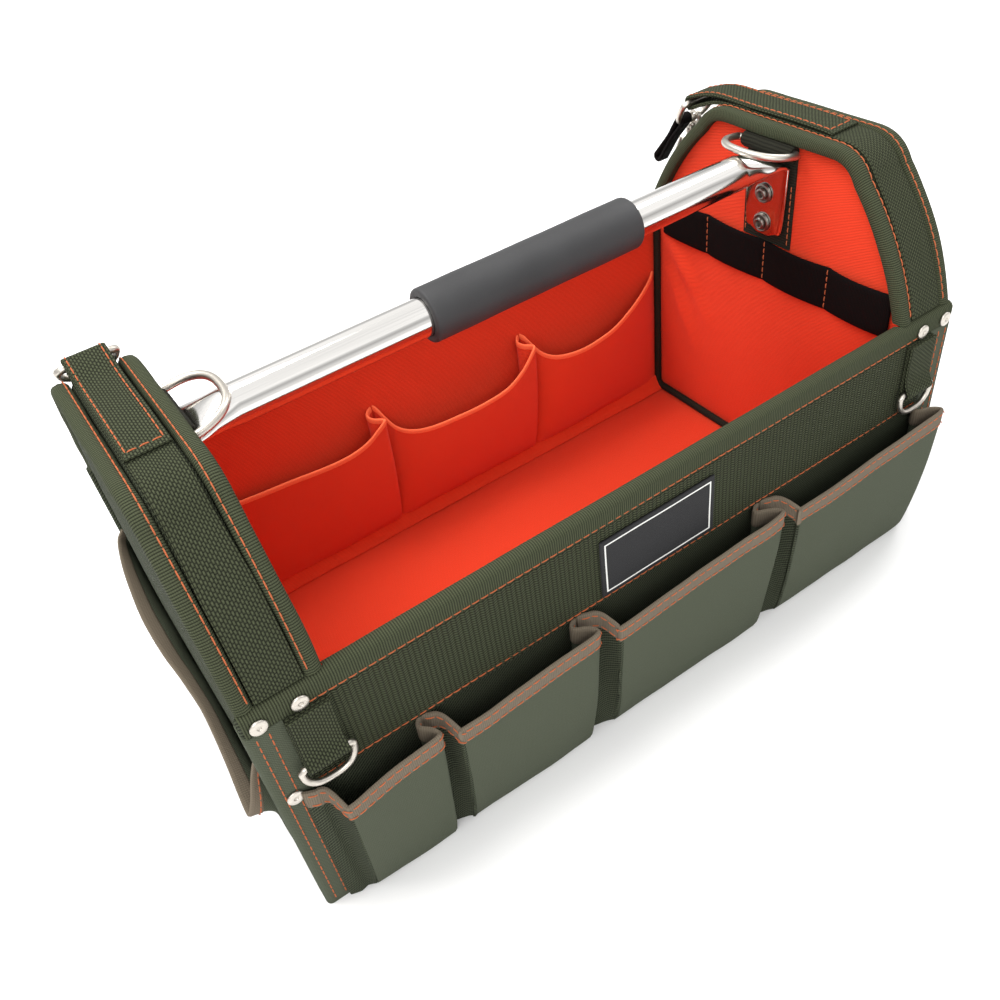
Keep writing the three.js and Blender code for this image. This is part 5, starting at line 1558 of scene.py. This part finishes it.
def build_hook():
    hang = joint_place("hook_swivel")
    axis = next(j for j in frame["joints"] if j["name"] == "hook_swivel")["axis"]
    lean = math.atan2(-axis[1], axis[2])
    carry = Matrix.Translation(Vector(hang)) @ Matrix.Rotation(lean, 4, "X")
    x_axis = [1.0, 0.0, 0.0]

    def wire(piece, line, closed=False, radius=HOOK_WIRE):
        path = np.column_stack([np.zeros(len(line)), line])
        piece.sweep(moved(path, carry), x_axis, round_section(radius, 14), closed=closed)

    piece = Piece()
    turn = np.linspace(0.0, 2 * np.pi, 40, endpoint=False)
    wire(piece, HOOK_EYE * np.stack([np.cos(turn), np.sin(turn)], -1), closed=True)
    top = -HOOK_EYE
    low = top - HOOK_COLLAR
    radius = HOOK_COLLAR_RADIUS
    piece.lathe([[0.01, low], [radius - 0.3, low], [radius, low + 0.4], [radius, top - 0.5],
                 [radius - 0.5, top], [0.01, top]], 32, carry)
    piece.build("hook_swivel_eye", nickel(), "nickel", replaces=["hook_eye"], crease=40)

    piece = Piece()
    barrel_top = low - GAP
    barrel_low = barrel_top - HOOK_BARREL
    shank_low = -HOOK_LENGTH * 0.58
    thin = HOOK_WIRE * 1.2
    piece.lathe([[0.01, shank_low - HOOK_WIRE], [thin * 0.8, shank_low - HOOK_WIRE * 0.6], [thin, shank_low],
                 [thin, barrel_low - HOOK_WIRE], [radius * 0.85, barrel_low], [radius, barrel_top - 1.2],
                 [radius * 0.92, barrel_top - 0.4], [radius * 0.8, barrel_top], [0.01, barrel_top]],
                32, carry)
    half = HOOK_HALF_WIDTH
    nose = shank_low - HOOK_OPENING
    bow = -HOOK_LENGTH + HOOK_WIRE
    curve = np.concatenate([
        [[0.0, shank_low + HOOK_WIRE], [-half * 0.35, shank_low - HOOK_WIRE],
         [-half * 0.85, nose + HOOK_WIRE], [-half, (nose + bow) / 2]],
        arc_points((0.0, bow + half), half, 180, 360, 12)[1:], [[half, nose]]])
    wire(piece, smooth_line(curve, 4))
    piece.build("hook_shank", nickel(), "nickel", body="hook", replaces=["hook_body"], crease=40)

    piece = Piece()
    bolt_top = shank_low + 2 * HOOK_KNOB
    knob_low = bolt_top - HOOK_KNOB * 1.3
    wire(piece, np.linspace([half, bolt_top], [half, nose + GAP], 8))
    knob = Matrix.Translation(Vector((0.0, half + HOOK_KNOB * 0.3, knob_low + HOOK_KNOB / 2)))
    knob = carry @ knob @ Matrix.Rotation(-math.pi / 2, 4, "X")
    piece.lathe([[0.01, 0.0], [HOOK_KNOB * 0.4, 0.0], [HOOK_KNOB * 0.42, HOOK_KNOB * 0.6],
                 [HOOK_KNOB * 0.55, HOOK_KNOB * 0.8], [HOOK_KNOB * 0.5, HOOK_KNOB * 1.05],
                 [0.01, HOOK_KNOB * 1.12]], 24, knob)
    link = np.linspace([thin + GAP, knob_low + HOOK_KNOB * 0.65], [half, knob_low + HOOK_KNOB * 0.65], 4)
    wire(piece, link, radius=HOOK_KNOB * 0.42)
    piece.build("hook_bolt", nickel(), "nickel", body="trigger", replaces=["hook_trigger"], crease=40)


def build_loop():
    """A flat loop of black cloth, folded over the strap ring beside the hook."""
    middle_x = centre("black_loop")[0]
    bar = np.array(STRAP_ENDS["right"]["bar"])
    lean = math.radians(STRAP_ENDS["right"]["lean"])
    across = STRAP_RING["bar"] * LOOP_PLACE
    cosine = (2 * across / STRAP_RING["bar"]) ** (1 / RING_FLATNESS)
    depth = STRAP_RING["wire"] + (STRAP_RING["reach"] - STRAP_RING["wire"]) * math.sqrt(
        1 - cosine ** 2) ** RING_FLATNESS
    hang = np.array([middle_x, bar[0] + depth * math.cos(lean), bar[1] - depth * math.sin(lean)])
    carry = Matrix.Translation(Vector(hang)) @ Matrix.Rotation(math.radians(LOOP_LEAN), 4, "X")
    half = LOOP_THICKNESS / 2 - LOOP_CLOTH / 2
    play = LOOP_WIDTH * 0.5
    foot = play - LOOP_LENGTH + LOOP_THICKNESS
    line = np.concatenate([
        arc_points((0.0, play), half, 0, 180, 14),
        [[-half * 0.8, play - 8], [-half * 0.55, play - 16], [-half * 0.8, foot + 8]],
        arc_points((0.0, foot), half, 180, 360, 14),
        [[half * 0.8, foot + 8], [half * 0.55, play - 16], [half * 0.8, play - 8]]])
    line = smooth_line(np.concatenate([line, line[:1]]), 3)[:-1]
    path = moved(np.column_stack([np.zeros(len(line)), line]), carry)
    ahead = unit(np.roll(path, -1, 0) - np.roll(path, 1, 0))
    up = np.cross([1.0, 0.0, 0.0], ahead)
    section = flat_section(LOOP_WIDTH + LOOP_SPREAD, LOOP_CLOTH, across=6)
    piece = Piece().sweep(path, up, section, closed=True)
    piece.build("cloth_loop", black_elastic(), "black", replaces=["black_loop"])


# Stitching


def build_end_stitches():
    """Orange rows on both rims of each end, and the box that holds each strap's loop."""
    lift = 0.15
    for name, side in SIDES:
        seams = Piece()
        line = outline_above(-lift, RIM_FOOT + 3, 240)
        for x in (END_FACE + RIM_WIDTH - 1.7, HALF_LENGTH - RIM_WIDTH + 1.7):
            path, up = across_x(line, side * x)
            seams.sew(path, up * np.sign(up[len(up) // 2, 2]))
        _, loop = strap_lines(name)
        top = loop[:np.argmax(loop[:, 0]) - 6]
        half = STRAP_WIDTH * 0.45 - 2.2
        for x in (-half, half):
            path, up = across_x(top, side * STRAP_MIDDLE + x)
            up = up * np.sign(up[len(up) // 2, 2])
            seams.sew((path + up * STRAP_CLOTH / 2)[3:], up[3:])
        start = np.array([side * STRAP_MIDDLE, *top[3]]) + [0.0, 0.0, STRAP_CLOTH / 2]
        seams.sew(np.linspace(start - [half, 0, 0], start + [half, 0, 0], 6), [0.0, 0.0, 1.0])
        seams.build(f"{name}_end_stitches", thread_material(), "thread")


def build_front_stitches():
    seams = Piece()
    forward = np.array([0.0, -1.0, 0.0])

    def row(start, end, y):
        line = np.linspace([start[0], y, start[1]], [end[0], y, end[1]], 60)
        seams.sew(line, forward)

    reach = HALF_LENGTH - 22
    row((-reach, BINDING_LOW + 1.6), (reach, BINDING_LOW + 1.6), -BINDING_FACE)
    row((-BAND_HALF + 3, BAND_LOW + 2.0), (BAND_HALF - 3, BAND_LOW + 2.0), -BAND_FACE - 0.4)
    strip_face = -WALL_FACE - GAP - BINDING_CLOTH - 0.1
    for side in (-1, 1):
        for inset in (3.0, 8.6):
            x = side * (HALF_LENGTH - inset)
            row((x, 3.0), (x, BINDING_LOW - 2), strip_face)
    seam = BINDING_LOW + 1.6
    seams.sew(np.linspace([-reach, BINDING_FACE, seam], [reach, BINDING_FACE, seam], 60), -forward)
    for side in (-1, 1):
        x = side * (HALF_LENGTH - 6)
        seams.sew(np.linspace([x, WALL_FACE, 3.0], [x, WALL_FACE, BINDING_LOW - 2], 40), -forward)
    seams.build("wall_stitches", thread_material(), "thread")


def build_patch_stitches():
    seams = Piece()
    patch_x = END_LINING_FACE - GAP - PATCH_CLOTH
    low, high = face("right_patch", 0, 2), TUBE_HEIGHT - 12
    half = extent("right_patch", 1) / 2 - 2.0
    for side in (-1, 1):
        for y in (-half, half):
            line = np.linspace([side * patch_x, y, low + 2], [side * patch_x, y, high], 20)
            seams.sew(line, [-side, 0.0, 0.0], pitch=3.8)
    seams.build("patch_stitches", thread_material(), "thread")


# Stage: floor, lights and camera


CAMERA_PLACE = (-218.59, -354.28, 448.18)
CAMERA_TARGET = (-24.69, 3.40, 80.0)
CAMERA_ROLL = -0.16
CAMERA_FOCUS = 958.06
PHOTO_SIDE = 1000


def build_floor():
    mesh = bpy.data.meshes.new("floor")
    half = 6.0
    corners = [(-half, -half, 0.0), (half, -half, 0.0), (half, half, 0.0), (-half, half, 0.0)]
    mesh.from_pydata(corners, [], [(0, 1, 2, 3)])
    floor = bpy.data.objects.new("floor", mesh)
    bpy.context.scene.collection.objects.link(floor)
    material, tree, shader = new_material("Pale floor")
    place = object_places(tree)
    soft = noise_at(tree, place, 3.0, 2.0)
    tree.links.new(blend_colours(tree, soft, (0.86, 0.86, 0.86, 1), (0.9, 0.9, 0.9, 1)),
                   shader.inputs["Base Color"])
    shader.inputs["Roughness"].default_value = 0.9
    mesh.materials.append(material)


def add_area_light(name, place, target, size, power, colour):
    light = bpy.data.lights.new(name, "AREA")
    light.shape = "RECTANGLE"
    light.size, light.size_y = size
    light.energy = power
    light.color = colour
    lamp = bpy.data.objects.new(name, light)
    lamp.location = place
    lamp.rotation_euler = (Vector(target) - Vector(place)).to_track_quat("-Z", "Y").to_euler()
    bpy.context.scene.collection.objects.link(lamp)


def build_lights():
    world = bpy.data.worlds.new("Studio")
    bpy.context.scene.world = world
    world.use_nodes = True
    tree = world.node_tree
    background = tree.nodes["Background"]
    background.inputs["Strength"].default_value = 1.15
    split = tree.nodes.new("ShaderNodeSeparateXYZ")
    tree.links.new(tree.nodes.new("ShaderNodeTexCoord").outputs["Generated"], split.inputs[0])
    sky = tree.nodes.new("ShaderNodeValToRGB")
    sky.color_ramp.elements[0].position = 0.0
    sky.color_ramp.elements[0].color = (0.9, 0.9, 0.9, 1.0)
    sky.color_ramp.elements[1].position = 1.0
    sky.color_ramp.elements[1].color = (1.0, 1.0, 1.0, 1.0)
    for position, shade in ((0.1, 0.8), (0.3, 0.5), (0.45, 0.75), (0.55, 1.15), (0.75, 1.1)):
        sky.color_ramp.elements.new(position).color = (shade, shade, shade, 1.0)
    tree.links.new(split.outputs["Z"], sky.inputs[0])
    tree.links.new(sky.outputs["Color"], background.inputs["Color"])
    add_area_light("Key", (-0.5, 0.5, 1.6), (0.0, 0.0, 0.1), (1.2, 0.9), 26.0, (1.0, 0.98, 0.95))
    add_area_light("Fill", (-0.9, -1.3, 1.1), (0.0, 0.0, 0.1), (1.4, 1.0), 14.0, (1.0, 0.99, 0.97))
    add_area_light("Strip", (1.2, 0.2, 1.2), (0.0, 0.0, 0.2), (0.5, 1.2), 9.0, (1.0, 1.0, 1.0))


def build_camera():
    place = (np.array(CAMERA_PLACE) + MIDDLE) * MM
    target = (np.array(CAMERA_TARGET) + MIDDLE) * MM
    ahead = unit(target - place)
    right = unit(np.cross(ahead, [0.0, 0.0, 1.0]))
    up = np.cross(right, ahead)
    cosine, sine = math.cos(CAMERA_ROLL), math.sin(CAMERA_ROLL)
    turned_right = cosine * right + sine * up
    turned_up = -sine * right + cosine * up
    data = bpy.data.cameras.new("Camera")
    data.sensor_width = 36.0
    data.lens = CAMERA_FOCUS / PHOTO_SIDE * data.sensor_width
    data.clip_start = 0.01
    camera = bpy.data.objects.new("Camera", data)
    axes = Matrix((turned_right, turned_up, -ahead)).transposed().to_4x4()
    camera.matrix_world = Matrix.Translation(Vector(place)) @ axes
    bpy.context.scene.collection.objects.link(camera)
    bpy.context.scene.camera = camera


# Operators, panel and registration


class ToteOperator:
    bl_options = {"REGISTER", "UNDO"}


class TOTE_OT_stage(ToteOperator, bpy.types.Operator):
    """Add the floor, the lights and the camera"""
    bl_idname = "tote.stage"
    bl_label = "Stage"

    def execute(self, context):
        build_floor()
        build_lights()
        build_camera()
        context.scene.view_settings.view_transform = "Standard"
        return {"FINISHED"}


class TOTE_OT_box(ToteOperator, bpy.types.Operator):
    """Build the base, the walls, their linings and the tape over their edges"""
    bl_idname = "tote.box"
    bl_label = "Base and walls"

    def execute(self, context):
        build_base()
        build_walls()
        build_bindings()
        return {"FINISHED"}


class TOTE_OT_ends(ToteOperator, bpy.types.Operator):
    """Build both end panels with their rims, linings, straps, patches and seam tape"""
    bl_idname = "tote.ends"
    bl_label = "End panels"

    def execute(self, context):
        for name, side in SIDES:
            build_end(name, side)
            build_rims(name, side)
            build_strap(name, side)
            build_patch(name, side)
            build_piping(name, side)
        return {"FINISHED"}


class TOTE_OT_handle(ToteOperator, bpy.types.Operator):
    """Build the handle tube, its foam grip and its four nuts"""
    bl_idname = "tote.handle"
    bl_label = "Handle"

    def execute(self, context):
        build_handle()
        build_tab_nuts()
        return {"FINISHED"}


class TOTE_OT_rings(ToteOperator, bpy.types.Operator):
    """Build the six D-rings"""
    bl_idname = "tote.rings"
    bl_label = "Rings"

    def execute(self, context):
        build_rings()
        return {"FINISHED"}


class TOTE_OT_front(ToteOperator, bpy.types.Operator):
    """Build the front band, label, tabs, corner strips and rivets"""
    bl_idname = "tote.front"
    bl_label = "Front trim"

    def execute(self, context):
        build_band()
        build_label()
        build_tabs()
        build_corner_strips()
        build_rivets()
        return {"FINISHED"}


class TOTE_OT_pockets(ToteOperator, bpy.types.Operator):
    """Build the front, inside and outside pockets with their hems"""
    bl_idname = "tote.pockets"
    bl_label = "Pockets"

    def execute(self, context):
        build_front_pockets()
        build_inner_pockets()
        build_outer_pocket()
        return {"FINISHED"}


class TOTE_OT_tools(ToteOperator, bpy.types.Operator):
    """Build the elastic tool loops, the snap hook and the cloth loop"""
    bl_idname = "tote.tools"
    bl_label = "Tool loops and hook"

    def execute(self, context):
        build_elastic()
        build_hook()
        build_loop()
        return {"FINISHED"}


class TOTE_OT_stitching(ToteOperator, bpy.types.Operator):
    """Sew the rows of orange thread"""
    bl_idname = "tote.stitching"
    bl_label = "Stitching"

    def execute(self, context):
        build_end_stitches()
        build_front_stitches()
        build_patch_stitches()
        return {"FINISHED"}


OPERATORS = (TOTE_OT_stage, TOTE_OT_box, TOTE_OT_ends, TOTE_OT_handle, TOTE_OT_rings, TOTE_OT_front,
             TOTE_OT_pockets, TOTE_OT_tools, TOTE_OT_stitching)


class TOTE_PT_panel(bpy.types.Panel):
    """Lists the tote's pieces, sizes and colours"""
    bl_idname = "TOTE_PT_panel"
    bl_label = "Open top tool tote"
    bl_space_type = "VIEW_3D"
    bl_region_type = "UI"
    bl_category = "Tote"

    def draw(self, context):
        column = self.layout.column()
        for operator in OPERATORS:
            column.operator(operator.bl_idname)
        for settings in (context.scene.tote_sizes, context.scene.tote_colours):
            for name in settings.__annotations__:
                column.prop(settings, name)


CLASSES = (ToteSizes, ToteColours, *OPERATORS, TOTE_PT_panel)


def register():
    for item in CLASSES:
        bpy.utils.register_class(item)
    bpy.types.Scene.tote_sizes = PointerProperty(type=ToteSizes)
    bpy.types.Scene.tote_colours = PointerProperty(type=ToteColours)


def unregister():
    del bpy.types.Scene.tote_sizes
    del bpy.types.Scene.tote_colours
    for item in reversed(CLASSES):
        bpy.utils.unregister_class(item)


def main():
    register()
    for operator in (bpy.ops.tote.stage, bpy.ops.tote.box, bpy.ops.tote.ends, bpy.ops.tote.handle,
                     bpy.ops.tote.rings, bpy.ops.tote.front, bpy.ops.tote.pockets, bpy.ops.tote.tools,
                     bpy.ops.tote.stitching):
        operator()


if __name__ == "__main__":
    main()
